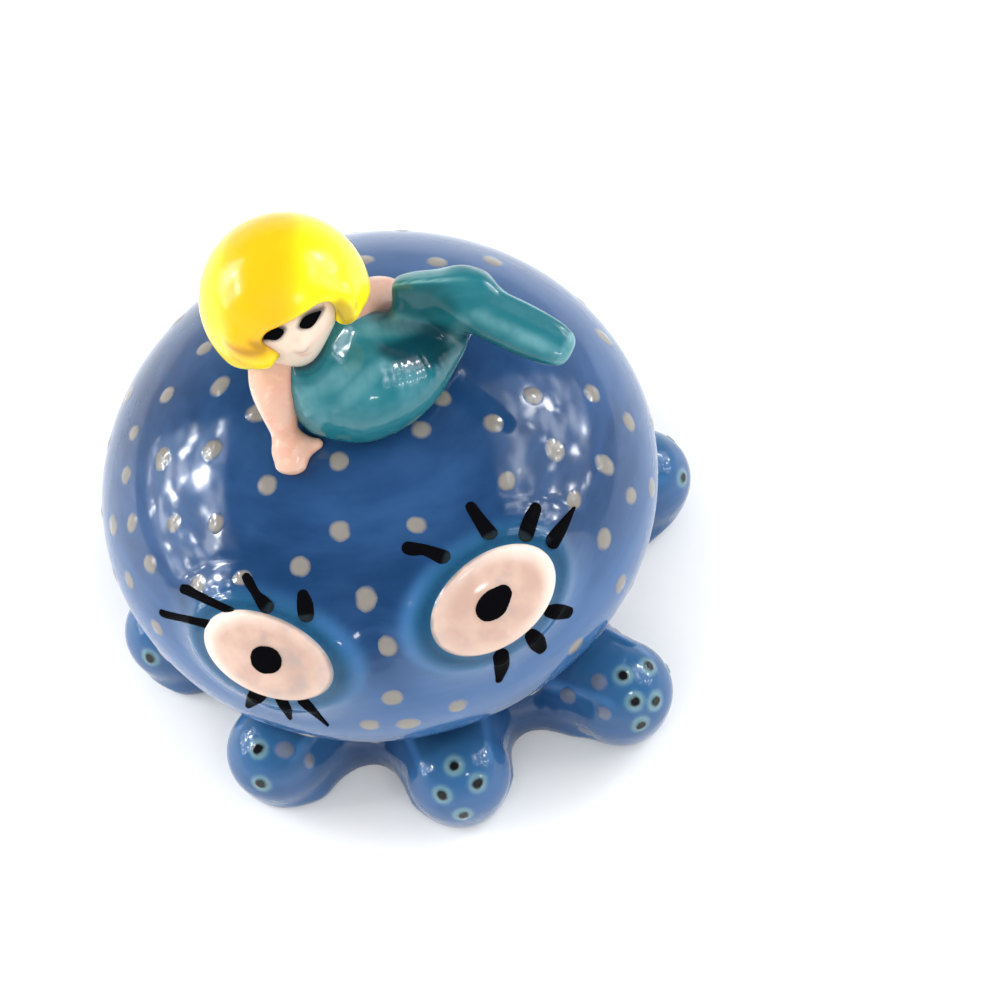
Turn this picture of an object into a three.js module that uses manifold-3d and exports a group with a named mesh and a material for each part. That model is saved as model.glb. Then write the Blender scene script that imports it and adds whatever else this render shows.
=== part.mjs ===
// A glazed earthenware ornament: a young mermaid resting on the head of a big-eyed octopus.
// Millimetres, +Z up. The origin is the middle of the footprint, on the table. The octopus faces -Y,
// which is the front, and left and right are as seen from there.
import * as THREE from 'three';
import { mergeVertices } from 'three/addons/utils/BufferGeometryUtils.js';
import Module from 'manifold-3d';

const wasm = await Module();
wasm.setup();

// Driving dimensions: fits
const CLEARANCE = 0.3; // bedding gap between pieces that are luted together

// Driving dimensions: octopus head, a slip-cast shell that is open below
const HEAD_RADIUS = 40;
const HEAD_HALF_HEIGHT = 26.6;
const HEAD_WALL = 3.5;
const HEAD_SEAT_RADIUS = 26.2; // outer edge of the flat ring that it stands on
const HEAD_SEAT_WIDTH = 7.5;

// Driving dimensions: octopus eyes, oval inserts on raised mounds
const EYE_HALF_WIDTH = 9.5;
const EYE_HALF_HEIGHT = 6.4;
const EYE_BEARING = 25.5; // degrees either side of straight ahead
const RIGHT_EYE_RISE = 14; // above the middle of the head; the hand-set eyes aren't quite level
const LEFT_EYE_RISE = 11.8;
const EYE_CANT = 6; // degrees, outer corner up
const EYE_CROWN = 1.5;
const EYE_SEAT_DEPTH = 2.6;
const MOUND_HEIGHT = 2.2;
const MOUND_SPREAD = 1.85; // foot of the mound, in eye widths

// Driving dimensions: skirt under the head
const SKIRT_HEIGHT = 9;
const SKIRT_FLOOR = 4;
const SKIRT_REACH = 35;
const SKIRT_LIP = 2;
const POUR_HOLE_RADIUS = 8;
const WEB_CENTRE_RADIUS = 36; // middle of each hollow between two tentacles
const WEB_FLARE = 2.2;

// Driving dimensions: tentacles, with bearings in degrees from straight ahead.
// inset is how far the middle of the tip lies inside the edge of the head.
const TENTACLES = [
  { name: 'tentacle_front', bearing: 8.5, inset: 3 },
  { name: 'tentacle_front_right', bearing: 48, inset: -0.5 },
  { name: 'tentacle_right', bearing: 103, inset: 1.6 },
  { name: 'tentacle_back_right', bearing: 148, inset: 2 },
  { name: 'tentacle_back', bearing: 193, inset: 2 },
  { name: 'tentacle_back_left', bearing: 242, inset: -1.5 },
  { name: 'tentacle_left', bearing: 281, inset: 5 },
  { name: 'tentacle_front_left', bearing: 325.5, inset: 4.5 },
];
const TENTACLE_ROOT_RADIUS = 24;
const TENTACLE_ROOT_WIDTH = 12.4;
const TENTACLE_ROOT_HEIGHT = 9.2;
const TIP_RADIUS = 7.5;
const FOOT_FLAT = 0.6; // how much of the round underside is ground flat
const SUCKER_RADIUS = 1.45;
const SUCKER_RISE = 0.2;
const SUCKER_DIMPLE = 0.45;

// Driving dimensions: mermaid, with heights above the crown of the octopus head
const BODY_STATIONS = [
  { at: [-5.8, 0.6, 10.6], across: 2.6, deep: 2.6 },
  { at: [-5.2, -0.7, 8.6], across: 4.6, deep: 3.8 },
  { at: [-4.1, -2.7, 6.1], across: 6.4, deep: 5.2 },
  { at: [-2.0, -4.3, 4.0], across: 7.3, deep: 6.0 },
  { at: [2.2, -4.3, 2.9], across: 8.0, deep: 6.6 },
  { at: [6.8, -2.4, 2.4], across: 7.0, deep: 6.0 },
  { at: [11.0, 0.4, 1.9], across: 5.2, deep: 4.9 },
  { at: [14.2, 2.8, 2.0], across: 3.9, deep: 3.8 },
  { at: [16.0, 3.8, 3.8], across: 3.0, deep: 3.0 },
  { at: [16.6, 3.8, 5.8], across: 2.5, deep: 2.6 },
  { at: [17.0, 4.0, 7.0], across: 2.2, deep: 2.4 },
];
const FRONT_ARM_STATIONS = [
  { at: [-9.8, -2.2, 8.8], across: 2.5, deep: 2.5 },
  { at: [-11.0, -4.6, 6.4], across: 2.4, deep: 2.4 },
  { at: [-10.7, -6.6, 3.4], across: 2.1, deep: 2.1 },
  { at: [-9.9, -8.5, 0.9], across: 1.9, deep: 1.9 },
  { at: [-9.2, -10.7, -0.3], across: 2.6, deep: 1.8 },
  { at: [-9.4, -12.6, -1.1], across: 2.2, deep: 1.4 },
];
const FRONT_THUMB_STATIONS = [
  { at: [-9.0, -9.8, -0.3], across: 1.4, deep: 1.2 },
  { at: [-6.9, -10.3, -0.5], across: 1.2, deep: 1.1 },
  { at: [-5.6, -10.3, -0.4], across: 0.8, deep: 0.8 },
];
const BACK_ARM_STATIONS = [
  { at: [-0.4, 2.8, 8.4], across: 2.6, deep: 2.6 },
  { at: [2.4, 7.0, 6.4], across: 2.8, deep: 2.8 },
  { at: [5.2, 9.8, 3.6], across: 2.7, deep: 2.7 },
  { at: [7.8, 10.6, 0.9], across: 2.3, deep: 2.2 },
  { at: [9.4, 11.2, -0.4], across: 2.2, deep: 1.7 },
];
const FRONT_FLUKE_STATIONS = [
  { at: [17.0, 4.6, 8.6], across: 2.4, deep: 1.8 },
  { at: [19.4, 2.6, 8.1], across: 3.7, deep: 2.1 },
  { at: [23.2, -0.2, 7.3], across: 4.0, deep: 2.1 },
  { at: [26.6, -2.8, 6.6], across: 3.6, deep: 1.9 },
  { at: [29.0, -4.6, 6.1], across: 2.5, deep: 1.5 },
];
const BACK_FLUKE_STATIONS = [
  { at: [17.8, 4.8, 8.7], across: 2.4, deep: 1.8 },
  { at: [15.2, 5.4, 9.0], across: 3.2, deep: 2.1 },
  { at: [11.6, 5.8, 9.0], across: 3.2, deep: 2.2 },
  { at: [8.8, 5.9, 8.8], across: 2.4, deep: 1.8 },
];

// Driving dimensions: mermaid's head and bobbed hair, in the head's own frame
const FACE_CENTRE = [-6.4, 1.6, 16.1];
const FACE_TURN = 9; // degrees about the upright
const FACE_LIFT = 22;
const FACE_TILT = 13;
const FACE_HALF_WIDTH = 9.2;
const FACE_HALF_DEPTH = 9.4;
const FACE_HALF_HEIGHT = 9.4;
const JAW_TAPER = 0.24;
const NOSE_RADIUS = 1;
const NOSE_DROP = 9; // degrees below the middle of the face
const HAIR_RADIUS = 11.4;
const HAIR_SET_BACK = 0.8;
const HAIR_FRONT_LENGTH = 2.6; // below the middle of the head
const HAIR_BACK_LENGTH = 7;
const FRINGE_HEIGHT = 3.4;
const FRINGE_LEFT = 6.4; // window in the hair, left and right edges
const FRINGE_RIGHT = 4.6;
const LOCK_CURL = 1.2; // how far the ends of the locks turn in

// Facets
const HEAD_SIDES = 52;
const HEAD_RINGS = 26;
const EYE_SIDES = 20;
const FACE_DENSITY = 0.4; // how far the head's facets crowd towards the face
const HEADING_SPAN = 0.16; // share of a loft's path, either way, that sets the heading of a ring

// Heights that follow from the sizes above
const SEAT_HEIGHT = SKIRT_HEIGHT + CLEARANCE;
const SEAT_DROP = HEAD_HALF_HEIGHT * Math.sqrt(1 - (HEAD_SEAT_RADIUS / HEAD_RADIUS) ** 2);
const HEAD_CENTRE_HEIGHT = SEAT_HEIGHT + SEAT_DROP;
const CROWN_HEIGHT = HEAD_CENTRE_HEIGHT + HEAD_HALF_HEIGHT;
const THROAT_RADIUS = HEAD_SEAT_RADIUS - HEAD_SEAT_WIDTH;

const radians = THREE.MathUtils.degToRad;

// Solids from closed geometries
function solidOf(geometry) {
  geometry.deleteAttribute('normal');
  geometry.deleteAttribute('uv');
  const merged = mergeVertices(geometry, 1e-4);
  return new wasm.Manifold(new wasm.Mesh({
    numProp: 3,
    vertProperties: Float32Array.from(merged.attributes.position.array),
    triVerts: Uint32Array.from(merged.index.array),
  }));
}

function geometryOf(solid) {
  const mesh = solid.getMesh();
  const geometry = new THREE.BufferGeometry();
  geometry.setAttribute('position', new THREE.BufferAttribute(new Float32Array(mesh.vertProperties), 3));
  geometry.setIndex(new THREE.BufferAttribute(new Uint32Array(mesh.triVerts), 1));
  geometry.computeVertexNormals();
  return geometry;
}

function box(width, depth, height, centre) {
  return solidOf(new THREE.BoxGeometry(width, depth, height).translate(...centre));
}

// A unit ball with its poles on Z
function ball(sides, rings) {
  return new THREE.SphereGeometry(1, sides, rings).rotateX(Math.PI / 2);
}

function lathe(profile, sides) {
  const points = profile.map(([r, z]) => new THREE.Vector2(r, z));
  return new THREE.LatheGeometry(points, sides).rotateX(Math.PI / 2);
}

// A skin of oval rings along a smooth curve through the stations, with domed ends.
// across runs level, at right angles to the curve; deep is at right angles to both.
function loft(stations, { sides = 14, steps = 16, grow = 0, level = new THREE.Vector3(0, 0, 1) } = {}) {
  const places = stations.map((s) => new THREE.Vector3(...s.at));
  const curve = new THREE.CatmullRomCurve3(places, false, 'centripetal');
  const widths = (key, t) => {
    const place = t * (stations.length - 1);
    const i = Math.min(Math.floor(place), stations.length - 2);
    const f = THREE.MathUtils.smoothstep(place - i, 0, 1);
    return THREE.MathUtils.lerp(stations[i][key], stations[i + 1][key], f) + grow;
  };
  const heading = (t) => {
    const behind = curve.getPoint(Math.max(t - HEADING_SPAN, 0));
    return curve.getPoint(Math.min(t + HEADING_SPAN, 1)).sub(behind).normalize();
  };
  const points = [];
  const ring = (t, shrink, shift) => {
    const side = new THREE.Vector3().crossVectors(level, heading(t)).normalize();
    const up = new THREE.Vector3().crossVectors(heading(t), side);
    const centre = curve.getPoint(t).addScaledVector(heading(t), shift);
    for (let k = 0; k < sides; k += 1) {
      const a = (2 * Math.PI * k) / sides;
      points.push(centre.clone()
        .addScaledVector(side, Math.cos(a) * widths('across', t) * shrink)
        .addScaledVector(up, Math.sin(a) * widths('deep', t) * shrink));
    }
  };
  const DOME = [[0.42, 0.88], [0.8, 0.58]]; // ring size and set-out of a domed end, in end radii
  const first = Math.min(widths('across', 0), widths('deep', 0));
  const last = Math.min(widths('across', 1), widths('deep', 1));
  for (const [shrink, out] of DOME) ring(0, shrink, -out * first);
  for (let i = 0; i <= steps; i += 1) ring(i / steps, 1, 0);
  for (const [shrink, out] of [...DOME].reverse()) ring(1, shrink, out * last);
  const rows = points.length / sides;
  const start = points.push(curve.getPoint(0).addScaledVector(heading(0), -first)) - 1;
  const end = points.push(curve.getPoint(1).addScaledVector(heading(1), last)) - 1;
  const index = [];
  for (let k = 0; k < sides; k += 1) {
    const n = (k + 1) % sides;
    index.push(start, n, k);
    for (let row = 0; row < rows - 1; row += 1) {
      const a = row * sides + k;
      const b = row * sides + n;
      index.push(a, b, b + sides, a, b + sides, a + sides);
    }
    index.push(end, (rows - 1) * sides + k, (rows - 1) * sides + n);
  }
  const geometry = new THREE.BufferGeometry().setFromPoints(points);
  geometry.setIndex(index);
  return solidOf(geometry);
}

// Octopus head
function onHead(bearing, height) {
  const a = radians(bearing - 90);
  const level = (height - HEAD_CENTRE_HEIGHT) / HEAD_HALF_HEIGHT;
  const r = HEAD_RADIUS * Math.sqrt(1 - level * level);
  return new THREE.Vector3(r * Math.cos(a), r * Math.sin(a), height);
}

function headNormal(p) {
  return new THREE.Vector3(
    p.x / HEAD_RADIUS ** 2,
    p.y / HEAD_RADIUS ** 2,
    (p.z - HEAD_CENTRE_HEIGHT) / HEAD_HALF_HEIGHT ** 2,
  ).normalize();
}

// Each eye's frame: middle on the bare head, outward normal, outer-corner direction and upward direction
function eyeFrame(side, height) {
  const centre = onHead(side * EYE_BEARING, height);
  const normal = headNormal(centre);
  const level = new THREE.Vector3(0, 0, 1).cross(normal).normalize().multiplyScalar(side);
  const outward = level.applyAxisAngle(normal, side * radians(EYE_CANT));
  const upward = new THREE.Vector3().crossVectors(normal, outward).multiplyScalar(side);
  return { centre, normal, outward, upward, side };
}

const EYES = {
  octopus_right_eye: eyeFrame(1, HEAD_CENTRE_HEIGHT + RIGHT_EYE_RISE),
  octopus_left_eye: eyeFrame(-1, HEAD_CENTRE_HEIGHT + LEFT_EYE_RISE),
};

function moundRise(p, eye) {
  const d = p.clone().sub(eye.centre);
  if (d.dot(eye.normal) < -2 * EYE_HALF_HEIGHT) return 0;
  const q = Math.hypot(d.dot(eye.outward) / EYE_HALF_WIDTH, d.dot(eye.upward) / EYE_HALF_HEIGHT);
  return MOUND_HEIGHT * (1 - THREE.MathUtils.smoothstep(q, 0.95, MOUND_SPREAD));
}

// The head's outer skin, with closer facets towards the face
function headSkin(grow = 0) {
  const geometry = ball(HEAD_SIDES, HEAD_RINGS);
  const position = geometry.attributes.position;
  const p = new THREE.Vector3();
  for (let i = 0; i < position.count; i += 1) {
    p.fromBufferAttribute(position, i);
    const flat = Math.hypot(p.x, p.y);
    const turn = Math.atan2(p.x, -p.y);
    const bearing = turn - FACE_DENSITY * Math.sin(turn);
    p.set(flat * Math.sin(bearing) * (HEAD_RADIUS + grow), -flat * Math.cos(bearing) * (HEAD_RADIUS + grow),
      p.z * (HEAD_HALF_HEIGHT + grow) + HEAD_CENTRE_HEIGHT);
    for (const eye of Object.values(EYES)) {
      p.addScaledVector(eye.normal, moundRise(p, eye));
    }
    position.setXYZ(i, p.x, p.y, p.z);
  }
  return solidOf(geometry);
}

function placeInEye(geometry, eye) {
  const right = eye.outward.clone().multiplyScalar(eye.side);
  const frame = new THREE.Matrix4().makeBasis(right, eye.upward, eye.normal);
  frame.setPosition(eye.centre.clone().addScaledVector(eye.normal, MOUND_HEIGHT));
  return geometry.applyMatrix4(frame);
}

function eyeSocket(eye) {
  const height = 2 * EYE_SEAT_DEPTH;
  const oval = new THREE.CylinderGeometry(1, 1, height, EYE_SIDES).rotateX(Math.PI / 2);
  oval.scale(EYE_HALF_WIDTH + CLEARANCE, EYE_HALF_HEIGHT + CLEARANCE, 1);
  return solidOf(placeInEye(oval, eye));
}

function eyeInsert(eye) {
  const back = -EYE_SEAT_DEPTH + CLEARANCE;
  const profile = [
    [0, back], [0.96, back], [1, back + 0.4], [1, -0.3], [0.97, 0.1],
    [0.88, EYE_CROWN * 0.42], [0.68, EYE_CROWN * 0.74], [0.36, EYE_CROWN * 0.94], [0, EYE_CROWN],
  ];
  const oval = lathe(profile, EYE_SIDES).scale(EYE_HALF_WIDTH, EYE_HALF_HEIGHT, 1);
  return solidOf(placeInEye(oval, eye));
}

// Everything below a level, as a block to cut with
function below(height) {
  const span = 4 * HEAD_RADIUS;
  return box(span, span, span, [0, 0, height - span / 2]);
}

function octopusHead() {
  const hollow = ball(24, 12);
  hollow.scale(HEAD_RADIUS - HEAD_WALL, HEAD_RADIUS - HEAD_WALL, HEAD_HALF_HEIGHT - HEAD_WALL);
  hollow.translate(0, 0, HEAD_CENTRE_HEIGHT);
  const throat = new THREE.CylinderGeometry(THROAT_RADIUS, THROAT_RADIUS, HEAD_CENTRE_HEIGHT, 24);
  throat.rotateX(Math.PI / 2).translate(0, 0, HEAD_CENTRE_HEIGHT / 2);
  let head = headSkin().subtract(solidOf(hollow).add(solidOf(throat)));
  head = head.subtract(below(SEAT_HEIGHT));
  for (const eye of Object.values(EYES)) head = head.subtract(eyeSocket(eye));
  return head;
}

// Tentacles
function tentacleFrame(bearing) {
  return new THREE.Matrix4().makeRotationZ(radians(bearing - 90));
}

function tipReach(tentacle) {
  return HEAD_RADIUS - tentacle.inset;
}

function tentacleStations(reach) {
  const tipHeight = TIP_RADIUS - FOOT_FLAT;
  const stations = [];
  const necks = 4;
  for (let i = 0; i < necks; i += 1) {
    const f = i / necks;
    const swell = THREE.MathUtils.smoothstep(f, 0, 1);
    const height = THREE.MathUtils.lerp(TENTACLE_ROOT_HEIGHT, 2 * TIP_RADIUS, swell) / 2;
    stations.push({
      at: [THREE.MathUtils.lerp(TENTACLE_ROOT_RADIUS, reach, f), 0, height - FOOT_FLAT],
      across: THREE.MathUtils.lerp(TENTACLE_ROOT_WIDTH / 2, TIP_RADIUS, swell),
      deep: height,
    });
  }
  stations.push({ at: [reach, 0, tipHeight], across: TIP_RADIUS, deep: TIP_RADIUS });
  return stations;
}

function tentacleArm(tentacle, grow) {
  return loft(tentacleStations(tipReach(tentacle)), { sides: 12, steps: 5, grow })
    .transform(tentacleFrame(tentacle.bearing).toArray());
}

// Suckers: shallow cups in two rows down the face of the tip, as [bearing, elevation] about the tip's middle
const SUCKER_PLACES = [[-14, 60], [30, 42], [-30, 28], [8, 14], [-20, -10]];

function sucker(tentacle, [turn, lift]) {
  const root = -SUCKER_RADIUS;
  const lip = SUCKER_RADIUS * 0.85;
  const profile = [[0, root], [SUCKER_RADIUS, root], [lip, SUCKER_RISE], [0, SUCKER_RISE - SUCKER_DIMPLE]];
  const cup = lathe(profile, 6).rotateY(Math.PI / 2);
  cup.translate(TIP_RADIUS, 0, 0).rotateY(-radians(lift)).rotateZ(radians(turn));
  cup.translate(tipReach(tentacle), 0, TIP_RADIUS - FOOT_FLAT);
  return solidOf(cup.applyMatrix4(tentacleFrame(tentacle.bearing)));
}

function tentacleBody(tentacle) {
  let arm = tentacleArm(tentacle, 0);
  for (const place of SUCKER_PLACES) arm = arm.add(sucker(tentacle, place));
  return arm.subtract(headGrown).subtract(below(0));
}

// Skirt: a dished ring under the head, hollowed between the tentacles so that a web joins them
function webHollow(first, second) {
  const gap = radians(THREE.MathUtils.euclideanModulo(second.bearing - first.bearing, 360));
  const radius = WEB_CENTRE_RADIUS * Math.sin(gap / 2) - TENTACLE_ROOT_WIDTH / 2;
  const tall = 2 * SKIRT_HEIGHT;
  const cone = new THREE.CylinderGeometry(radius + WEB_FLARE, radius, tall, 10).rotateX(Math.PI / 2);
  cone.translate(WEB_CENTRE_RADIUS, 0, SKIRT_HEIGHT / 2);
  const middle = radians(first.bearing - 90) + gap / 2;
  return solidOf(cone.rotateZ(middle));
}

function tentacleSkirt() {
  const hip = [(SKIRT_REACH + HEAD_SEAT_RADIUS) / 2, (SKIRT_LIP + SKIRT_HEIGHT) * 0.42];
  const profile = [
    [POUR_HOLE_RADIUS, 0], [SKIRT_REACH, 0], [SKIRT_REACH, SKIRT_LIP], hip, [HEAD_SEAT_RADIUS, SKIRT_HEIGHT],
    [THROAT_RADIUS, SKIRT_HEIGHT], [THROAT_RADIUS, SKIRT_FLOOR],
    [POUR_HOLE_RADIUS, SKIRT_FLOOR], [POUR_HOLE_RADIUS, 0],
  ];
  let skirt = solidOf(lathe(profile, 24));
  TENTACLES.forEach((tentacle, i) => {
    skirt = skirt.subtract(webHollow(tentacle, TENTACLES[(i + 1) % TENTACLES.length]));
  });
  for (const tentacle of TENTACLES) skirt = skirt.subtract(tentacleArm(tentacle, CLEARANCE));
  return skirt;
}

// Mermaid
const BODY_LEVEL = new THREE.Vector3(0.35, 0.2, 1);
const onCrown = [0, 0, CROWN_HEIGHT];

function bodyLoft(grow = 0) {
  return loft(BODY_STATIONS, { sides: 12, steps: 17, grow, level: BODY_LEVEL }).translate(onCrown);
}

function faceFrame() {
  const turn = new THREE.Euler(-radians(FACE_LIFT), -radians(FACE_TILT), radians(FACE_TURN), 'ZXY');
  const [x, y, rise] = FACE_CENTRE;
  return new THREE.Matrix4().makeRotationFromEuler(turn).setPosition(x, y, CROWN_HEIGHT + rise);
}

function faceGeometry(grow) {
  const geometry = ball(18, 12);
  const position = geometry.attributes.position;
  const p = new THREE.Vector3();
  for (let i = 0; i < position.count; i += 1) {
    p.fromBufferAttribute(position, i);
    const narrow = 1 - JAW_TAPER * THREE.MathUtils.smoothstep(-p.z, 0, 1);
    position.setXYZ(i, p.x * narrow * (FACE_HALF_WIDTH + grow), p.y * (FACE_HALF_DEPTH + grow),
      p.z * (FACE_HALF_HEIGHT + grow));
  }
  return geometry;
}

function mermaidHead() {
  const nose = ball(8, 6).scale(NOSE_RADIUS, NOSE_RADIUS, NOSE_RADIUS);
  nose.translate(0, -FACE_HALF_DEPTH, 0).rotateX(radians(NOSE_DROP));
  const face = solidOf(faceGeometry(0)).add(solidOf(nose));
  return face.transform(faceFrame().toArray()).subtract(bodyGrown);
}

// The bob: a ball of hair with ends cut longer at the nape
function bob(grow) {
  const span = 4 * HAIR_RADIUS;
  const radius = HAIR_RADIUS + grow;
  const crown = ball(22, 14).scale(radius, radius, radius).translate(0, HAIR_SET_BACK, 0);
  const cut = new THREE.BoxGeometry(span, span, span).translate(0, 0, -span / 2 - grow);
  cut.rotateX(-Math.atan2(HAIR_BACK_LENGTH - HAIR_FRONT_LENGTH, 2 * HAIR_RADIUS));
  cut.translate(0, 0, -(HAIR_FRONT_LENGTH + HAIR_BACK_LENGTH) / 2);
  return solidOf(crown).subtract(solidOf(cut));
}

// The window in the hair for the face, with the ends of the side locks turned in
function faceWindow() {
  const span = 4 * HAIR_RADIUS;
  const opening = new THREE.Shape();
  opening.moveTo(-FRINGE_RIGHT + LOCK_CURL, -span);
  opening.lineTo(FRINGE_LEFT - LOCK_CURL, -span);
  opening.lineTo(FRINGE_LEFT - LOCK_CURL, -HAIR_FRONT_LENGTH);
  opening.lineTo(FRINGE_LEFT, FRINGE_HEIGHT / 3);
  opening.bezierCurveTo(FRINGE_LEFT, FRINGE_HEIGHT, FRINGE_LEFT / 2, FRINGE_HEIGHT, 0, FRINGE_HEIGHT);
  opening.quadraticCurveTo(-FRINGE_RIGHT, FRINGE_HEIGHT * 0.8, -FRINGE_RIGHT, FRINGE_HEIGHT / 3);
  opening.lineTo(-FRINGE_RIGHT + LOCK_CURL, -HAIR_FRONT_LENGTH);
  const window = new THREE.ExtrudeGeometry(opening, { depth: span, bevelEnabled: false, curveSegments: 6 });
  return solidOf(window.rotateX(Math.PI / 2));
}

function mermaidHair() {
  const hair = bob(0).subtract(faceGrown).subtract(faceWindow());
  return hair.transform(faceFrame().toArray()).subtract(bodyGrown);
}

function mermaidBody() {
  return bodyLoft().subtract(headGrown);
}

// An arm stands on the octopus head, and butts against the body and the hair
function trimArm(arm) {
  return arm.translate(onCrown).subtract(headGrown).subtract(bodyGrown).subtract(headAndHairGrown);
}

function frontArm() {
  const arm = loft(FRONT_ARM_STATIONS, { sides: 10, steps: 8 });
  const thumb = loft(FRONT_THUMB_STATIONS, { sides: 8, steps: 4 });
  return trimArm(arm.add(thumb));
}

function backArm() {
  return trimArm(loft(BACK_ARM_STATIONS, { sides: 10, steps: 7 }));
}

function frontLobe(grow) {
  return loft(FRONT_FLUKE_STATIONS, { sides: 12, steps: 8, grow }).translate(onCrown);
}

function frontFluke() {
  return frontLobe(0).subtract(bodyGrown);
}

function backFluke() {
  const lobe = loft(BACK_FLUKE_STATIONS, { sides: 12, steps: 7 }).translate(onCrown);
  return lobe.subtract(bodyGrown).subtract(frontLobe(CLEARANCE));
}

// Assembly
const group = new THREE.Group();

function addPiece(name, solid, colour) {
  const material = new THREE.MeshStandardMaterial({ color: colour, roughness: GLAZE_ROUGHNESS });
  const mesh = new THREE.Mesh(geometryOf(solid), material);
  mesh.name = name;
  group.add(mesh);
}

const BLUE_GLAZE = 0x2c62a8;
const EYE_GLAZE = 0xf2cdb8;
const TURQUOISE_GLAZE = 0x2f8f92;
const SKIN_GLAZE = 0xecc0aa;
const FACE_GLAZE = 0xf0d6c8;
const YELLOW_GLAZE = 0xf8d41a;
const GLAZE_ROUGHNESS = 0.12;

const headGrown = headSkin(CLEARANCE).subtract(below(SKIRT_HEIGHT));
const bodyGrown = bodyLoft(CLEARANCE);
const faceGrown = solidOf(faceGeometry(CLEARANCE));
const headAndHairGrown = bob(CLEARANCE).add(faceGrown).transform(faceFrame().toArray());

addPiece('octopus_head', octopusHead(), BLUE_GLAZE);
for (const [name, eye] of Object.entries(EYES)) addPiece(name, eyeInsert(eye), EYE_GLAZE);
addPiece('tentacle_skirt', tentacleSkirt(), BLUE_GLAZE);
for (const tentacle of TENTACLES) addPiece(tentacle.name, tentacleBody(tentacle), BLUE_GLAZE);
addPiece('mermaid_body', mermaidBody(), TURQUOISE_GLAZE);
addPiece('mermaid_front_fluke', frontFluke(), TURQUOISE_GLAZE);
addPiece('mermaid_back_fluke', backFluke(), TURQUOISE_GLAZE);
addPiece('mermaid_front_arm', frontArm(), SKIN_GLAZE);
addPiece('mermaid_back_arm', backArm(), SKIN_GLAZE);
addPiece('mermaid_head', mermaidHead(), FACE_GLAZE);
addPiece('mermaid_hair', mermaidHair(), YELLOW_GLAZE);

export default group;
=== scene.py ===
"""Mermaid on octopus: the glazed skins and painted details of a small ceramic figurine.

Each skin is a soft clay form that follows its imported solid, with the seams filled by the glaze. Sizes are
those of the solids, except where a comment says that they are fitted to the picture. Tables are in
millimetres, in the frame of the solids: +Z up, and the octopus looks along -Y. Left and right are as seen
from the front.
"""

import math

import bpy
import numpy as np
from bpy.props import FloatProperty, FloatVectorProperty, IntProperty, PointerProperty
from mathutils import Matrix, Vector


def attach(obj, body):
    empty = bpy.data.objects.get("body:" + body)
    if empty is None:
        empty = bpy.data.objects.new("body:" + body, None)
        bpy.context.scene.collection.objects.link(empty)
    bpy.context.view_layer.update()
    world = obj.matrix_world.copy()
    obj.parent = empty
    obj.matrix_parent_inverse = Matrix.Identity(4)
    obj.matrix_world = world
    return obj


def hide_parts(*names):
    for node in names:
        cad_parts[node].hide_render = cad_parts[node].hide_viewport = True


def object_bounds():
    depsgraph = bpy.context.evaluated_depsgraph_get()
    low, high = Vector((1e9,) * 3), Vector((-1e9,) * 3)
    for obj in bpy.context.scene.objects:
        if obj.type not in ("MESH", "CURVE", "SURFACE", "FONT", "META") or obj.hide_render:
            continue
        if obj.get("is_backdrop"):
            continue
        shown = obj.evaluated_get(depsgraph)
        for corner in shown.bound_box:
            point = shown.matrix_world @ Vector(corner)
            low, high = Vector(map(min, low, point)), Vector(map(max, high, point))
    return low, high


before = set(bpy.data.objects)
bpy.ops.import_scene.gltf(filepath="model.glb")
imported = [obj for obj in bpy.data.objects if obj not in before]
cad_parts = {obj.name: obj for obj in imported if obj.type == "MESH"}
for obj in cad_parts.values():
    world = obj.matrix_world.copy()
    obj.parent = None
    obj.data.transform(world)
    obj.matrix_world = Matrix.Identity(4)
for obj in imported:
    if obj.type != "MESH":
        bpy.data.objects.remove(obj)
CAD_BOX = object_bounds()

bl_info = {
    "name": "Mermaid on Octopus Figurine",
    "version": (1, 0, 0),
    "blender": (4, 5, 0),
    "location": "3D View > Sidebar > Figurine",
    "description": "Dresses the packed solids of a ceramic mermaid on an octopus in glaze and paint",
    "category": "Object",
}

MM = 0.001

# Sizes of the octopus, as in the solids
CLEARANCE = 0.3
HEAD_RADIUS = 40.0
HEAD_HALF_HEIGHT = 26.6
HEAD_WALL = 3.5
SEAT_RADIUS = 26.2
SEAT_WIDTH = 7.5
SKIRT_HEIGHT = 9.0
SKIRT_FLOOR = 4.0
SKIRT_REACH = 35.0
SKIRT_LIP = 2.0
POUR_HOLE_RADIUS = 8.0
WEB_CENTRE_RADIUS = 36.0
WEB_FLARE = 2.2
HEAD_RADII = np.array([HEAD_RADIUS, HEAD_RADIUS, HEAD_HALF_HEIGHT])
SEAT_DROP = HEAD_HALF_HEIGHT * math.sqrt(1 - (SEAT_RADIUS / HEAD_RADIUS) ** 2)
HEAD_RISE = SKIRT_HEIGHT + CLEARANCE + SEAT_DROP
HEAD_MIDDLE = np.array([0.0, 0.0, HEAD_RISE])
CROWN = HEAD_MIDDLE + (0.0, 0.0, HEAD_HALF_HEIGHT)
THROAT_RADIUS = SEAT_RADIUS - SEAT_WIDTH

EYE_HALF_WIDTH = 9.5
EYE_HALF_HEIGHT = 6.4
EYE_BEARING = 25.5
EYE_CANT = 6.0
EYE_CROWN = 1.5
EYE_SEAT_DEPTH = 2.6
MOUND_HEIGHT = 2.2
MOUND_SPREAD = 1.85

# Eyes and mounds of the skin, fitted to the picture. An eye's place is its side, its rise over the head's
# middle, and how much its height is narrowed
EYE_PLACES = {"octopus_right_eye": (1, 14.0, 1.0), "octopus_left_eye": (-1, 11.4, 0.94)}
EYE_LIP = 0.22
EYE_OVERLAP = 1.08
MOUND_RIDGE = 0.45
MOUND_RIDGE_SHARE = 1.26
MOUND_RIDGE_SPREAD = 0.12

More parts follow.
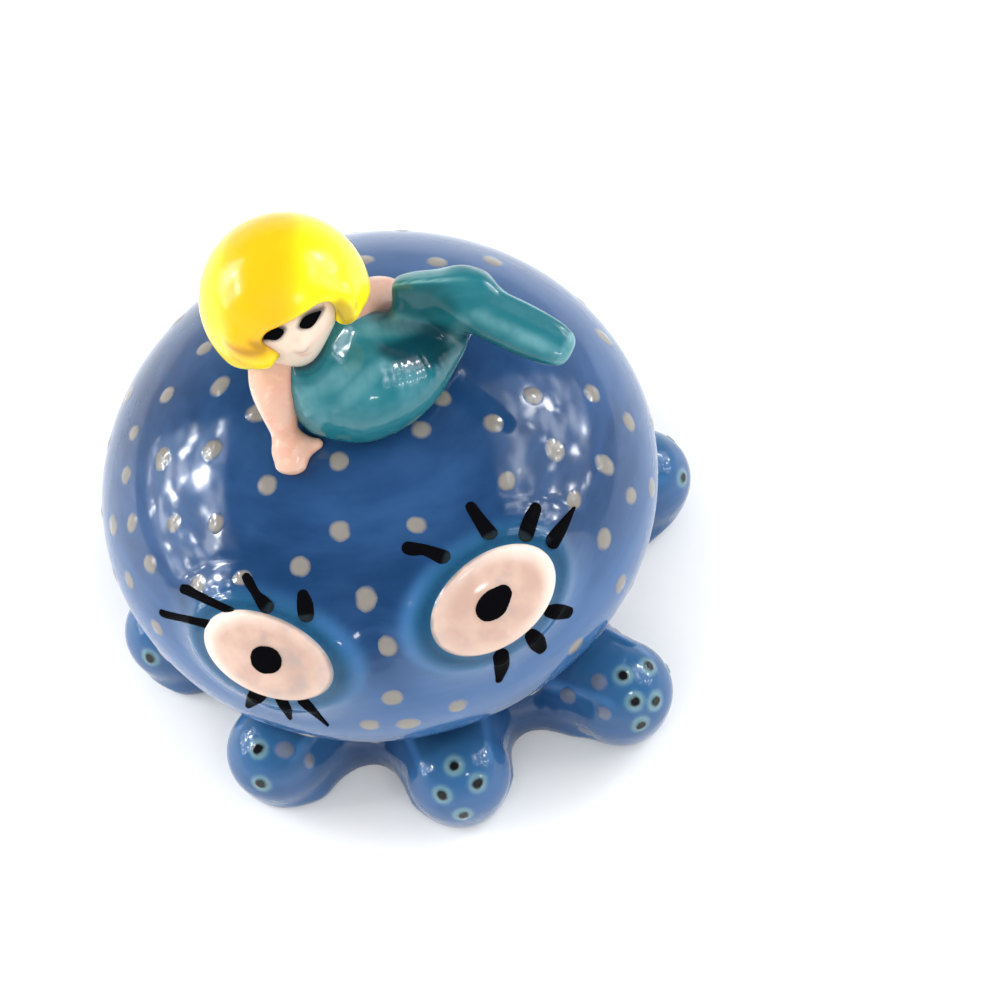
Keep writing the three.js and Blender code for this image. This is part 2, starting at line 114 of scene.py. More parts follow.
# Tentacles: bearing from straight ahead in degrees, and how far the tip's middle lies inside the head's edge
TENTACLES = {
    "tentacle_front": (8.5, 3.0),
    "tentacle_front_right": (48.0, -0.5),
    "tentacle_right": (103.0, 1.6),
    "tentacle_back_right": (148.0, 2.0),
    "tentacle_back": (193.0, 2.0),
    "tentacle_back_left": (242.0, -1.5),
    "tentacle_left": (281.0, 5.0),
    "tentacle_front_left": (325.5, 4.5),
}
ROOT_RADIUS = 24.0
ROOT_WIDTH = 12.4
ROOT_HEIGHT = 9.2
TIP_RADIUS = 7.5
FOOT_FLAT = 0.6

# Roots, webs, feet and suckers of the skin, fitted to the picture
ROOT_FLARE = 2.4
ROOT_FILLET = 7.0
WEB_SPREAD = 1.0
WEB_FILLET = 4.0
WEB_CUT_LOW = -4.5
WEB_CUT_LENGTH = 18
SKIRT_HIP = (4.6, 30.6)
FOOT_MIDDLE = 5.0
FOOT_SHARE = 0.7
SUCKER_RISE = 0.34
SUCKER_WOBBLE = 0.4
# Suckers on each tip behind: turn from its bearing, and lift, in degrees
SUCKER_ROWS = [(-14, 60), (30, 42), (-30, 28), (8, 14), (-20, -10)]
TIPS_BEHIND = ("tentacle_back_right", "tentacle_back", "tentacle_back_left")

# Dots: the wobble of their outline. Those behind are tried between two shares of the head's height, out of
# the camera's sight and away from the eyes
DOT_WOBBLE = 0.3
DOT_TRIES = 4000
DOT_HEIGHTS = (-0.55, 0.98)
DOT_SIGHT = 0.12
DOT_EYE_SHARE = 1.7

# Mermaid: stations along each rolled piece, from the crown of the octopus head: x, y, z, across, deep. They
# are fitted to the picture
BODY = [
    (-5.4, 0.6, 10.6, 2.6, 2.6), (-4.6, -0.7, 8.6, 4.2, 3.8), (-3.5, -2.7, 6.1, 5.8, 5.2),
    (-1.6, -4.3, 4.0, 7.1, 6.0), (2.2, -4.3, 2.9, 8.0, 6.4), (6.6, -2.6, 2.2, 6.6, 5.2),
    (10.0, 0.2, 1.6, 4.8, 3.8), (12.6, 2.8, 1.9, 3.9, 3.2), (14.6, 3.8, 3.6, 3.3, 2.9),
    (15.6, 4.2, 5.6, 3.0, 2.6), (16.4, 4.4, 7.2, 2.8, 2.3),
]
BODY_LEVEL = (0.35, 0.2, 1.0)
BACK_SWELL = [
    (-0.6, 1.6, 6.8, 3.6, 3.4), (3.0, 2.6, 4.4, 3.8, 3.4), (7.0, 2.8, 3.2, 3.5, 2.8),
    (10.6, 3.0, 2.4, 2.8, 2.4),
]
HIP_SWELL = [(-3.6, -5.2, 1.6, 4.4, 4.0), (0.0, -6.0, 1.6, 4.6, 4.0)]
FRONT_ARM = [
    (-9.2, -2.0, 8.8, 3.8, 3.4), (-9.9, -4.6, 6.6, 3.4, 3.0), (-9.9, -6.6, 3.6, 2.6, 2.4),
    (-9.7, -8.5, 0.9, 1.9, 1.9), (-9.2, -10.7, -0.3, 2.6, 1.8), (-9.4, -12.6, -1.1, 2.2, 1.4),
]
FRONT_THUMB = [(-9.0, -9.8, -0.3, 1.4, 1.2), (-6.9, -10.3, -0.5, 1.2, 1.1), (-5.6, -10.3, -0.4, 0.8, 0.8)]
BACK_ARM = [
    (-0.4, 2.8, 8.4, 2.6, 2.6), (2.4, 7.0, 6.4, 2.8, 2.8), (5.2, 9.8, 3.6, 2.7, 2.7),
    (7.8, 10.6, 0.9, 2.3, 2.2), (9.4, 11.2, -0.4, 2.2, 1.7),
]
FRONT_FLUKE = [
    (16.8, 4.0, 8.4, 2.6, 1.9), (19.2, 1.4, 8.0, 3.4, 2.0), (23.0, -1.2, 7.3, 3.5, 2.0),
    (26.2, -3.3, 6.6, 3.2, 1.8), (27.7, -4.2, 6.2, 2.7, 1.5),
]
FRONT_FLUKE_LEVEL = (-0.1, -0.3, 1.0)
BACK_FLUKE = [
    (17.4, 4.6, 8.5, 2.6, 2.2), (15.2, 4.9, 8.7, 2.9, 2.4), (11.6, 5.3, 8.7, 2.9, 2.4),
    (9.7, 5.6, 8.6, 2.6, 2.1),
]
BACK_FLUKE_LEVEL = (0.0, -0.87, 0.5)
FRONT_FLUKE_POWER = 2.8
BACK_FLUKE_POWER = 3.2

# Mermaid's head and hair, in the head's own frame: the face looks along -Y. Face, jaw, nose and the height
# of the fringe are fitted to the picture
FACE_MIDDLE = CROWN + (-6.4, 1.6, 16.1)
FACE_TURN = 9.0
FACE_LIFT = 22.0
FACE_TILT = 13.0
FACE_RADII = np.array([8.9, 9.4, 8.4])
JAW_TAPER = 0.44
CHIN_SHIFT = 1.1
NOSE_RADII = np.array([0.7, 0.55, 0.9])
NOSE_DROP = 9.0
HAIR_RADIUS = 11.4
HAIR_SET_BACK = 0.8
HAIR_FRONT_LENGTH = 2.6
HAIR_BACK_LENGTH = 7.0
FRINGE_HEIGHT = 2.5
FRINGE_EDGES = (-4.6, 6.4)

# The picture's camera
CAMERA_PLACE = np.array([31.56, -237.63, 386.38])
CAMERA_RIGHT = np.array([0.98981, -0.09738, -0.10392])
CAMERA_UP = np.array([0.13815, 0.83372, 0.53463])
CAMERA_AHEAD = np.array([-0.03458, 0.54354, -0.83867])
CAMERA_LENS = 107.85
CAMERA_SENSOR = 36.0
PICTURE_SIZE = 1000.0

# Where a sight line starts, in how many steps it looks for a form, and the share of the gap in each
SIGHT_START = 330.0
SIGHT_STEPS = 90
SIGHT_STRIDE = 0.7

# Stage, in metres. Lights have an azimuth from the front and an elevation in degrees, and a width and height
FLOOR_REACH = 0.95
WINDOWS = {
    "window_left": (-103.0, 25.0, (0.85, 0.77), 0.0),
    "window_right": (103.0, 35.0, (1.0, 0.85), 11.0),
}
OVERHEAD = (0.0, 89.9, (5.0, 5.0))
OVERHEAD_HEIGHT = 1.5
FRONT = (5.0, 35.0, (1.4, 1.0))
LAMP = (33.0, 46.5, (0.12, 0.06))

# Cells of the lattices that the skins are drawn on, and depths of raised paint
CELLS = {
    "head": 0.75, "tentacles": 0.5, "tail": 0.33, "arms": 0.3, "face": 0.32, "hair": 0.34,
    "pupils": 0.14, "lashes": 0.16, "face_eyes": 0.12,
}
PAINT_DEPTHS = {"pupils": 0.28, "lashes": 0.3, "face_eyes": 0.2}

# Colours of clouds, strokes, painted shade and painted highlights, in the 0 to 255 scale of a paint chart
PAINTS = {
    "stroke_root": (48, 62, 66), "eye_cloud": (212, 182, 164), "eye_blotch": (152, 146, 144),
    "eye_cream_and_highlight": (232, 214, 200), "eye_rim_shadow": (96, 104, 112), "eye_edge": (58, 76, 88),
    "tail_brush_and_sheen": (128, 178, 182), "arm_blush": (214, 154, 130), "arm_mottle": (236, 210, 192),
    "arm_highlight": (240, 228, 216), "arm_shade": (160, 112, 94), "face_blush": (232, 186, 168),
    "face_shade": (176, 128, 104), "mouth": (206, 138, 122), "eye_smudge_and_shade": (34, 30, 32),
    "hair_shade": (140, 96, 6), "floor_cloud": (234, 233, 230),
}

# Places read in the picture, in its pixels. Near an edge, one may miss its form by EDGE_SLIP
EDGE_SLIP = 1.5
DOT_PIXELS = [
    (437, 262), (493, 261), (364, 260), (205, 348), (167, 395), (220, 386), (134, 433), (162, 459),
    (212, 450), (267, 485), (339, 461), (421, 430), (442, 398), (493, 423), (533, 396), (592, 393),
    (604, 337), (555, 450), (629, 422), (605, 465), (507, 481), (631, 496), (604, 539), (574, 500),
    (417, 525), (340, 531), (300, 567), (366, 599), (388, 646), (392, 698), (458, 706), (216, 523),
    (174, 523), (132, 523), (113, 525), (126, 475), (150, 564), (242, 578), (197, 586), (129, 580),
    (157, 628), (257, 413), (129, 395), (177, 321), (621, 584), (576, 646), (652, 422), (652, 488),
    (370, 725), (408, 724),
]
SUCKER_PIXELS = [
    (454, 766), (478, 783), (442, 795), (463, 815), (258, 749), (261, 784), (623, 675), (649, 666),
    (669, 668), (635, 702), (656, 701), (641, 725), (683, 478), (672, 437), (150, 658),
]
TENTACLE_DOT_PIXELS = [(285, 750), (310, 761), (568, 696), (599, 682), (604, 713), (585, 731), (624, 627)]

# Lashes from root to tip: pixel places, and half widths in millimetres
LASHES = [
    [(211, 625, 0.7), (186, 619, 0.55), (168, 615, 0.6), (162, 613, 0.6)],
    [(231, 611, 0.6), (203, 598, 0.62), (190, 591, 0.75), (183, 589, 0.7)],
    [(266, 606, 1.15), (256, 594, 0.62), (249, 582, 0.72), (246, 577, 0.65)],
    [(306, 615, 1.1), (305, 605, 1.15), (303, 595, 0.8)],
    [(258, 694, 1.3), (253, 700, 1.0), (248, 706, 0.45)],
    [(282, 701, 1.0), (286, 709, 0.85), (290, 718, 0.35)],
    [(304, 702, 0.95), (314, 712, 0.7), (328, 725, 0.2)],
    [(443, 557, 1.1), (425, 550, 0.8), (413, 549, 0.95), (408, 548, 0.9)],
    [(489, 533, 1.2), (479, 519, 0.95), (471, 507, 0.8)],
    [(526, 534, 1.15), (531, 519, 1.05), (536, 508, 0.85)],
    [(553, 541, 1.15), (563, 526, 0.85), (574, 508, 0.25)],
    [(549, 611, 0.9), (559, 612, 1.2), (569, 613, 0.9)],
    [(531, 635, 1.0), (537, 642, 1.3), (542, 649, 0.9)],
    [(501, 656, 1.2), (502, 668, 1.15), (499, 680, 0.55)],
]
# Smudged paint round the mermaid's eyes, set a little high so that it also paints the shade under the fringe
FACE_SMUDGES = [
    [(262, 340, 0.3), (268, 336, 0.8), (275, 333, 1.1), (283, 329, 0.5)],
    [(301, 326, 0.5), (308, 321, 1.05), (315, 315, 0.9), (323, 308, 0.4)],
]
MOUTH = [(297, 353, 0.2), (304, 355, 0.35), (311, 353, 0.2)]
# Painted shade on the hair, under the left lock and under the right flip, and a dark speck on it
HAIR_SHADES = [
    [(228, 345, 0.3), (238, 351, 0.6), (250, 353, 0.7), (262, 352, 0.5)],
    [(340, 305, 0.9), (345, 314, 1.4), (348, 323, 1.0)],
    [(252, 344, 0.5), (258, 347, 0.8), (264, 349, 0.5)],
    [(356, 304, 0.25), (356, 309, 0.25)],
]
# Lighter strokes on the torso, partly brushed-out glaze and partly painted sheen, as in the band on the upper
# back
TORSO_BRUSHES_AND_SHEEN = [
    [(337, 410, 0.8), (350, 396, 1.3), (366, 378, 1.5), (384, 362, 0.8)],
    [(322, 386, 1.2), (338, 378, 1.8), (354, 368, 1.4)],
    [(302, 398, 0.6), (312, 390, 0.9), (326, 384, 0.5)],
    [(366, 331, 1.4), (386, 328, 1.9), (408, 323, 1.9), (424, 320, 1.0)],
    [(450, 340, 0.8), (458, 332, 1.2), (464, 322, 1.2)],
]
# The shaded hollow before the tail's stem, and the front of the back lobe
TORSO_HOLLOWS = [
    [(388, 350, 1.4), (408, 352, 2.6), (428, 348, 3.0), (442, 338, 2.2)],
]
LOBE_SHADES = [[(402, 303, 1.0), (424, 306, 1.6), (446, 305, 1.4)]]
PUPILS = {
    "octopus_left_eye": [(264, 660, 2.05), (268, 660, 2.0)],
    "octopus_right_eye": [(488, 609, 1.75), (494, 604, 2.0), (503, 594, 1.3)],
}
# Locks of hair, each place with its depth under the ball of hair and its half width
LOCKS = [
    [(232, 340, 1.6, 1.9), (243, 355, 1.7, 1.9), (257, 362, 1.9, 1.7), (270, 362, 2.4, 1.4)],
    [(352, 296, 1.4, 1.7), (356, 308, 1.5, 1.5), (354, 319, 1.9, 1.0)],
]
FACE_EYES = [
    [(265, 338, 0.25), (269, 336, 0.55), (274, 334, 0.9), (280, 332, 0.55)],
    [(303, 325, 0.5), (308, 322, 0.9), (313, 318, 0.7), (320, 312, 0.2)],
]


def tint(red, green, blue):
    """A colour in the 0 to 255 scale of a paint chart, as the linear colour that the shaders take."""
    shares = (channel / 255 for channel in (red, green, blue))
    linear = (s / 12.92 if s <= 0.04045 else ((s + 0.055) / 1.055) ** 2.4 for s in shares)
    return (*linear, 1.0)


def paint(name):
    """One of the named paints, as a linear colour."""
    return tint(*PAINTS[name])


def length_prop(name, description, millimetres):
    """A small length of the panel."""
    return FloatProperty(
        name=name, description=description, default=millimetres * MM, unit="LENGTH", precision=5
    )


def power_prop(name, description, watts):
    """A light's power on the panel."""
    return FloatProperty(name=name, description=description, default=watts, min=0.0, unit="POWER")


def colour_prop(name, description, chart):
    """A colour of the panel, with its default from a paint chart."""
    return FloatVectorProperty(
        name=name, description=description, subtype="COLOR", size=4, min=0.0, max=1.0, default=tint(*chart)
    )


class OctopusSettings(bpy.types.PropertyGroup):
    """Sizes and colours of the octopus."""

    blue: colour_prop("Blue", "Main glaze of head and tentacles", (16, 51, 90))
    blue_light: colour_prop("Light blue", "Thin strokes of the same glaze", (52, 90, 138))
    # Painted sheen: a paler blue laid on ridges, steep sides and round the eye mounds
    blue_sheen: colour_prop("Pale blue", "Thin glaze on ridges and steep sides", (70, 116, 172))
    # Painted shade: a deeper blue laid in recesses and low on the head and tentacles
    blue_shaded: colour_prop("Deep blue", "Glaze that pooled in recesses", (6, 28, 66))
    teal: colour_prop("Teal", "Tint round the eyes and on the tips", (30, 98, 126))
    halo: colour_prop("Halo", "Pale ring that runs out round a sucker", (126, 162, 160))
    dot: colour_prop("Dot", "Warm grey of the painted dots", (138, 132, 122))
    eye: colour_prop("Eye", "Pale pink of the eyes", (190, 157, 142))
    ink: colour_prop("Ink", "Black of lashes and pupils", (9, 9, 12))
    dot_radius: length_prop("Dot radius", "Usual radius of a painted dot", 1.82)
    dot_rise: length_prop("Dot rise", "Height of a dot over the glaze", 0.16)
    dot_spacing: length_prop("Dot spacing", "Least distance of dots behind", 7.4)
    sucker_radius: length_prop("Sucker radius", "Radius of a sucker", 1.25)
    sucker_dimple: length_prop("Sucker dimple", "Depth of a sucker's cup", 0.2)
    seed: IntProperty(name="Seed", description="Seed of the hand-set irregularities", default=7)


class MermaidSettings(bpy.types.PropertyGroup):
    """Colours of the mermaid."""

    turquoise: colour_prop("Turquoise", "Glaze of dress and tail", (29, 103, 114))
    turquoise_light: colour_prop("Light turquoise", "Brushed-out patches of the tail", (86, 146, 152))
    # Painted shade: the turquoise laid in folds and hollows and under the fin
    turquoise_shaded: colour_prop("Deep turquoise", "Glaze pooled in the folds", (4, 44, 56))
    skin: colour_prop("Skin", "Glaze of the arms", (212, 172, 150))
    face: colour_prop("Face", "Paler glaze of the face", (220, 202, 182))
    hair: colour_prop("Hair", "Lemon yellow of the hair", (248, 230, 8))
    hair_amber: colour_prop("Amber", "Thick yellow glaze on the crown", (234, 176, 2))


class StageSettings(bpy.types.PropertyGroup):
    """Floor and light."""

    floor: colour_prop("Floor", "Pale floor", (246, 245, 242))
    window_strength: power_prop("Windows", "Power of each window light", 11.0)
    overhead_strength: power_prop("Overhead", "Power of the soft light from above", 62.0)
    lamp_strength: power_prop("Lamp", "Power of the small lamp that glints in the eyes", 0.4)
    front_strength: power_prop("Front", "Power of the soft light from the front", 4.6)
    room: FloatProperty(name="Room", description="Brightness of the pale walls", default=0.9, min=0.0)


# Clay: fields that are negative inside a form, near enough a distance in millimetres

def unit(vector):
    """A vector of length one."""
    return np.asarray(vector, float) / np.linalg.norm(vector)


def unit_rows(rows):
    """Rows of vectors, each of length one."""
    return rows / (np.linalg.norm(rows, axis=1, keepdims=True) + 1e-12)


def smooth_step(value, low, high):
    """Rises softly from 0 at low to 1 at high."""
    share = np.clip((value - low) / (high - low), 0.0, 1.0)
    return share * share * (3 - 2 * share)


def join(first, second, fillet):
    """Two forms luted together, with a fillet."""
    overlap = np.maximum(fillet - np.abs(first - second), 0.0) / fillet
    return np.minimum(first, second) - overlap * overlap * fillet / 4


def carve(form, tool, fillet):
    """A form with another one cut out of it, with a rounded edge."""
    return -join(-form, tool, fillet)


def oval(points, middle, radii, axes=None):
    """An ellipsoid, on the given axes."""
    away = points - middle
    if axes is not None:
        away = away @ axes.T
    reach = np.linalg.norm(away / radii, axis=1) + 1e-9
    slope = np.linalg.norm(away / np.square(radii), axis=1) + 1e-9
    return reach * (reach - 1) / slope


def smooth_path(rows, steps):
    """Rows on a smooth curve through the given rows, in some steps from each to the next."""
    rows = np.array(rows, float)
    ends = np.vstack([2 * rows[0] - rows[1], rows, 2 * rows[-1] - rows[-2]])
    made = []
    for before, start, stop, after in zip(ends, ends[1:], ends[2:], ends[3:]):
        t = np.arange(steps)[:, None] / steps
        square = 2 * before - 5 * start + 4 * stop - after
        cube = 3 * (start - stop) + after - before
        made.append(start + 0.5 * t * (stop - before + t * (square + t * cube)))
    return np.vstack([*made, rows[-1:]])


def rings_along(stations, level=(0.0, 0.0, 1.0), steps=6, flat=False, power=2.0):
    """Oval rings on a smooth curve through stations of x, y, z, across, deep. The ends of a flat roll are
    round in plan, and those of any other one are domes. A power over 2 makes the section squarer."""
    curve = smooth_path(stations, steps)
    heading = np.gradient(curve[:, :3], axis=0)
    side = np.cross(np.broadcast_to(level, heading.shape), heading)
    side /= np.linalg.norm(side, axis=1, keepdims=True)
    up = np.cross(heading, side)
    up /= np.linalg.norm(up, axis=1, keepdims=True)
    end = curve[:, 3] if flat else np.minimum(curve[:, 3], curve[:, 4])
    sizes = {"across": curve[:, 3], "deep": curve[:, 4], "end": end, "power": power}
    return {"middle": curve[:, :3], "side": side, "up": up, **sizes}


def rolled(points, rings):
    """Clay rolled along oval rings."""
    best = np.full(len(points), np.inf)
    middle, across, deep, end, power = (rings[key] for key in ("middle", "across", "deep", "end", "power"))
    for i in range(len(middle) - 1):
        span = middle[i + 1] - middle[i]
        length = np.linalg.norm(span)
        share = np.clip((points - middle[i]) @ span / length**2, 0.0, 1.0)
        away = points - middle[i] - share[:, None] * span
        u = (away @ rings["side"][i]) * (1 - share) + (away @ rings["side"][i + 1]) * share
        v = (away @ rings["up"][i]) * (1 - share) + (away @ rings["up"][i + 1]) * share
        w = away @ span / length
        a = across[i] + share * (across[i + 1] - across[i])
        b = deep[i] + share * (deep[i + 1] - deep[i])
        c = end[i] + share * (end[i + 1] - end[i])
        radii = np.stack([a, b, c])
        shares = np.abs(np.stack([u, v, w])) / radii
        reach = (shares**power).sum(axis=0) ** (1 / power) + 1e-9
        slope = np.sqrt(np.square(shares ** (power - 1) / radii).sum(axis=0)) * reach ** (1 - power) + 1e-9
        best = np.minimum(best, (reach - 1) / slope)
    return best


def probe(clay, points, step=0.02):
    """A field's value at some points and how it rises in x, y and z, from four samples round each point."""
    corners = np.array([(1, -1, -1), (-1, -1, 1), (-1, 1, -1), (1, 1, 1)], float)
    samples = np.stack([clay(points + step * corner) for corner in corners], axis=1)
    return samples.mean(axis=1), samples @ corners / (4 * step)


def outward(clay, points):
    """Unit normals of a form's skin."""
    return unit_rows(probe(clay, points)[1])


def sampled(clay, low, counts, cell, block=6):
    """A field on a lattice. Blocks far from the skin take the value at their middle."""
    blocks = -(-counts // block)
    corners = np.indices(blocks).reshape(3, -1).T * block
    rough = clay(low + cell * (corners + (block - 1) / 2))
    values = np.kron(rough.reshape(blocks), np.ones((block,) * 3))
    inside = np.indices((block,) * 3).reshape(3, -1).T
    near = np.abs(rough) < 1.5 * block * cell
    for corner in np.array_split(corners[near], max(1, near.sum() // 400)):
        spots = (corner[:, None] + inside[None]).reshape(-1, 3)
        values[tuple(spots.T)] = clay(low + cell * spots)
    return values[: counts[0], : counts[1], : counts[2]]


def skin_of(clay, low, high, cell, soften=1):
    """The closed skin of a form inside a box: points, one in each mixed cell, and four-sided faces."""
    low = np.asarray(low, float)
    counts = np.ceil((np.asarray(high, float) - low) / cell).astype(int) + 1
    values = sampled(clay, low, counts, cell)
    cells = counts - 1
    total = np.zeros((*cells, 3))
    number = np.zeros(cells, int)
    crossings = []
    for axis in range(3):
        u, v = (axis + 1) % 3, (axis + 2) % 3
        first = np.moveaxis(np.moveaxis(values, axis, 0)[:-1], 0, axis)
        second = np.moveaxis(np.moveaxis(values, axis, 0)[1:], 0, axis)
        crossing = (first < 0) != (second < 0)
        share = np.where(crossing, first / np.where(crossing, first - second, 1.0), 0.0)
        crossings.append((axis, u, v, crossing, first < 0))
        for du in (0, 1):
            for dv in (0, 1):
                pick = [slice(None)] * 3
                pick[u] = slice(du, cells[u] + du)
                pick[v] = slice(dv, cells[v] + dv)
                hit = crossing[tuple(pick)]
                number += hit
                total[..., axis] += share[tuple(pick)]
                total[..., u] += du * hit
                total[..., v] += dv * hit
    live = number > 0
    index = np.full(cells, -1)
    index[live] = np.arange(live.sum())
    points = low + cell * (np.argwhere(live) + total[live] / number[live][:, None])
    faces = []
    for axis, u, v, crossing, leaving in crossings:
        spots = np.argwhere(crossing)
        inner = (spots[:, [u, v]] > 0).all(axis=1) & (spots[:, u] < cells[u]) & (spots[:, v] < cells[v])
        spots = spots[inner]
        ring = []
        for du, dv in ((1, 1), (0, 1), (0, 0), (1, 0)):
            spot = spots.copy()
            spot[:, u] -= du
            spot[:, v] -= dv
            ring.append(index[tuple(spot.T)])
        ring = np.stack(ring, axis=1)
        forward = leaving[tuple(spots.T)]
        faces.append(np.where(forward[:, None], ring, ring[:, ::-1]))
    faces = np.vstack(faces)
    for _ in range(3):
        points = settle(clay, evened(points, faces), cell)
    for _ in range(soften):
        points = evened(points, faces)
    return points, faces


def evened(points, faces):
    """Points moved half way to the middle of their neighbours."""
    total = np.zeros_like(points)
    number = np.zeros(len(points))
    for i in range(4):
        for j in ((i + 1) % 4, (i + 3) % 4):
            for axis in range(3):
                total[:, axis] += np.bincount(faces[:, i], points[faces[:, j], axis], len(points))
            number += np.bincount(faces[:, i], minlength=len(points))
    return 0.5 * points + 0.5 * total / number[:, None]


def settle(clay, points, most):
    """Points moved onto a form's skin."""
    for _ in range(2):
        value, slope = probe(clay, points)
        step = value[:, None] * slope / (np.square(slope).sum(axis=1, keepdims=True) + 1e-9)
        far = np.linalg.norm(step, axis=1, keepdims=True)
        points = points - step * np.minimum(1.0, most / (far + 1e-9))
    return points


def sight(pixels):
    """Unit sight lines from the camera through pixels of the picture."""
    share = (np.asarray(pixels, float) - PICTURE_SIZE / 2) / PICTURE_SIZE * CAMERA_SENSOR / CAMERA_LENS
    lines = CAMERA_AHEAD + share[:, :1] * CAMERA_RIGHT - share[:, 1:2] * CAMERA_UP
    return unit_rows(lines)


def on_skin(clay, pixels):
    """Where the sight lines through pixels first meet a form."""
    lines = sight(np.asarray(pixels, float)[:, :2])
    far = np.full(len(lines), SIGHT_START)
    best, best_far = np.full(len(lines), np.inf), far.copy()
    for _ in range(SIGHT_STEPS):
        gap = clay(CAMERA_PLACE + far[:, None] * lines)
        nearer = np.abs(gap) < best
        best[nearer], best_far[nearer] = np.abs(gap)[nearer], far[nearer]
        far += SIGHT_STRIDE * gap
    if (best > EDGE_SLIP).any():
        raise ValueError(f"these pixels miss their form: {np.asarray(pixels)[best > EDGE_SLIP].tolist()}")
    return settle(clay, CAMERA_PLACE + best_far[:, None] * lines, EDGE_SLIP)


# Octopus forms

def eye_frame(side, rise, narrowing):
    """An eye's middle on the bare head, half sizes, and axes: to the outer corner, up, and outward."""
    turn = math.radians(side * EYE_BEARING - 90)
    reach = HEAD_RADIUS * math.sqrt(1 - (rise / HEAD_HALF_HEIGHT) ** 2)
    middle = np.array([reach * math.cos(turn), reach * math.sin(turn), HEAD_MIDDLE[2] + rise])
    normal = unit((middle - HEAD_MIDDLE) / np.square(HEAD_RADII))
    level = unit(np.cross((0.0, 0.0, 1.0), normal)) * side
    cant = side * math.radians(EYE_CANT)
    corner = level * math.cos(cant) + np.cross(normal, level) * math.sin(cant)
    axes = np.array([corner, np.cross(normal, corner) * side, normal])
    half = (EYE_HALF_WIDTH, EYE_HALF_HEIGHT * narrowing)
    return {"middle": middle, "axes": axes, "side": side, "half": half}


EYES = {name: eye_frame(*place) for name, place in EYE_PLACES.items()}


def eye_share(points, eye):
    """Distance from an eye's middle, where 1 is its oval edge."""
    local = (points - eye["middle"]) @ eye["axes"].T
    share = np.hypot(*(local[:, :2] / eye["half"]).T)
    return np.where(local[:, 2] < -2 * EYE_HALF_HEIGHT, 9.0, share)


def head_clay(points):
    """The octopus head's outer form with the two mounds."""
    moved = np.array(points, float)
    for eye in EYES.values():
        share = eye_share(points, eye)
        near = share < MOUND_SPREAD
        share = share[near]
        facing = unit_rows((points[near] - HEAD_MIDDLE) / np.square(HEAD_RADII)) @ eye["axes"][2]
        ridge = np.exp(-np.square((share - MOUND_RIDGE_SHARE) / MOUND_RIDGE_SPREAD))
        ridge *= smooth_step(facing, 0.75, 0.92)
        rise = MOUND_HEIGHT * (1 - smooth_step(share, 0.95, MOUND_SPREAD)) + MOUND_RIDGE * ridge
        moved[near] -= rise[:, None] * eye["axes"][2]
    return oval(moved, HEAD_MIDDLE, HEAD_RADII)


def head_shell(points):
    """The head as a slip-cast shell, open below."""
    hollow = oval(points, HEAD_MIDDLE, HEAD_RADII - HEAD_WALL)
    throat = np.maximum(np.hypot(points[:, 0], points[:, 1]) - THROAT_RADIUS, points[:, 2] - HEAD_MIDDLE[2])
    shell = carve(head_clay(points), np.minimum(hollow, throat), 0.6)
    return carve(shell, points[:, 2] - SKIRT_HEIGHT + 0.2, 0.4)


def tentacle_rings(bearing, inset):
    """Rings of a tentacle from its root under the head to its fat tip."""
    turn = math.radians(bearing - 90)
    reach = HEAD_RADIUS - inset
    stations = []
    for share in (0.0, 0.25, 0.5, 0.75, 1.0):
        swell = float(smooth_step(share, 0.0, 1.0))
        deep = (ROOT_HEIGHT + (2 * TIP_RADIUS - ROOT_HEIGHT) * swell) / 2
        across = ROOT_WIDTH / 2 + (TIP_RADIUS - ROOT_WIDTH / 2) * swell
        across += ROOT_FLARE * float(smooth_step(share, 0.85, 0.15))
        out = ROOT_RADIUS + (reach - ROOT_RADIUS) * share
        stations.append((out * math.cos(turn), out * math.sin(turn), deep - FOOT_FLAT, across, deep))
    return rings_along(stations, steps=2)


TENTACLE_RINGS = {name: tentacle_rings(*place) for name, place in TENTACLES.items()}
WEBS = list(zip(TENTACLES.values(), [*TENTACLES.values()][1:] + [*TENTACLES.values()][:1]))


def tentacle_clay(points):
    """The skirt and its eight tentacles as one skin, with hollow webs between them."""
    reach = np.hypot(points[:, 0], points[:, 1])
    height = points[:, 2]
    hip = [(0.0, SKIRT_REACH), (SKIRT_LIP, SKIRT_REACH), SKIRT_HIP, (SKIRT_HEIGHT, SEAT_RADIUS + 1)]
    skirt = 0.75 * (reach - np.interp(height, *zip(*hip)))
    skirt = carve(skirt, SKIRT_HEIGHT - height, 0.6)
    for (first, _), (second, _) in WEBS:
        gap = math.radians((second - first) % 360)
        turn = math.radians(first - 90) + gap / 2
        radius = WEB_CENTRE_RADIUS * math.sin(gap / 2) - ROOT_WIDTH / 2 - WEB_SPREAD
        x, y = WEB_CENTRE_RADIUS * math.cos(turn), WEB_CENTRE_RADIUS * math.sin(turn)
        flare = WEB_FLARE * (height - WEB_CUT_LOW) / WEB_CUT_LENGTH
        hollow = np.hypot(points[:, 0] - x, points[:, 1] - y) - radius - flare
        skirt = carve(skirt, hollow, WEB_FILLET)
    form = skirt
    full = np.array(points, float)
    full[:, 2] = np.where(height < FOOT_MIDDLE, FOOT_MIDDLE + FOOT_SHARE * (height - FOOT_MIDDLE), height)
    for rings in TENTACLE_RINGS.values():
        tip = rings["middle"][-1]
        near = (points @ np.array([tip[0], tip[1], 0.0])) > 0
        arm = np.full(len(points), 20.0)
        arm[near] = rolled(full[near], rings)
        form = join(form, arm, ROOT_FILLET)
    throat = np.maximum(reach - THROAT_RADIUS, SKIRT_FLOOR - height)
    form = carve(form, np.minimum(throat, reach - POUR_HOLE_RADIUS), 0.8)
    form = carve(form, head_clay(points) + CLEARANCE, 0.3)
    return carve(form, height, 0.5)


# Mermaid forms

def on_crown(stations):
    """Stations moved up onto the crown of the octopus head."""
    return [(*(CROWN + row[:3]), *row[3:]) for row in stations]


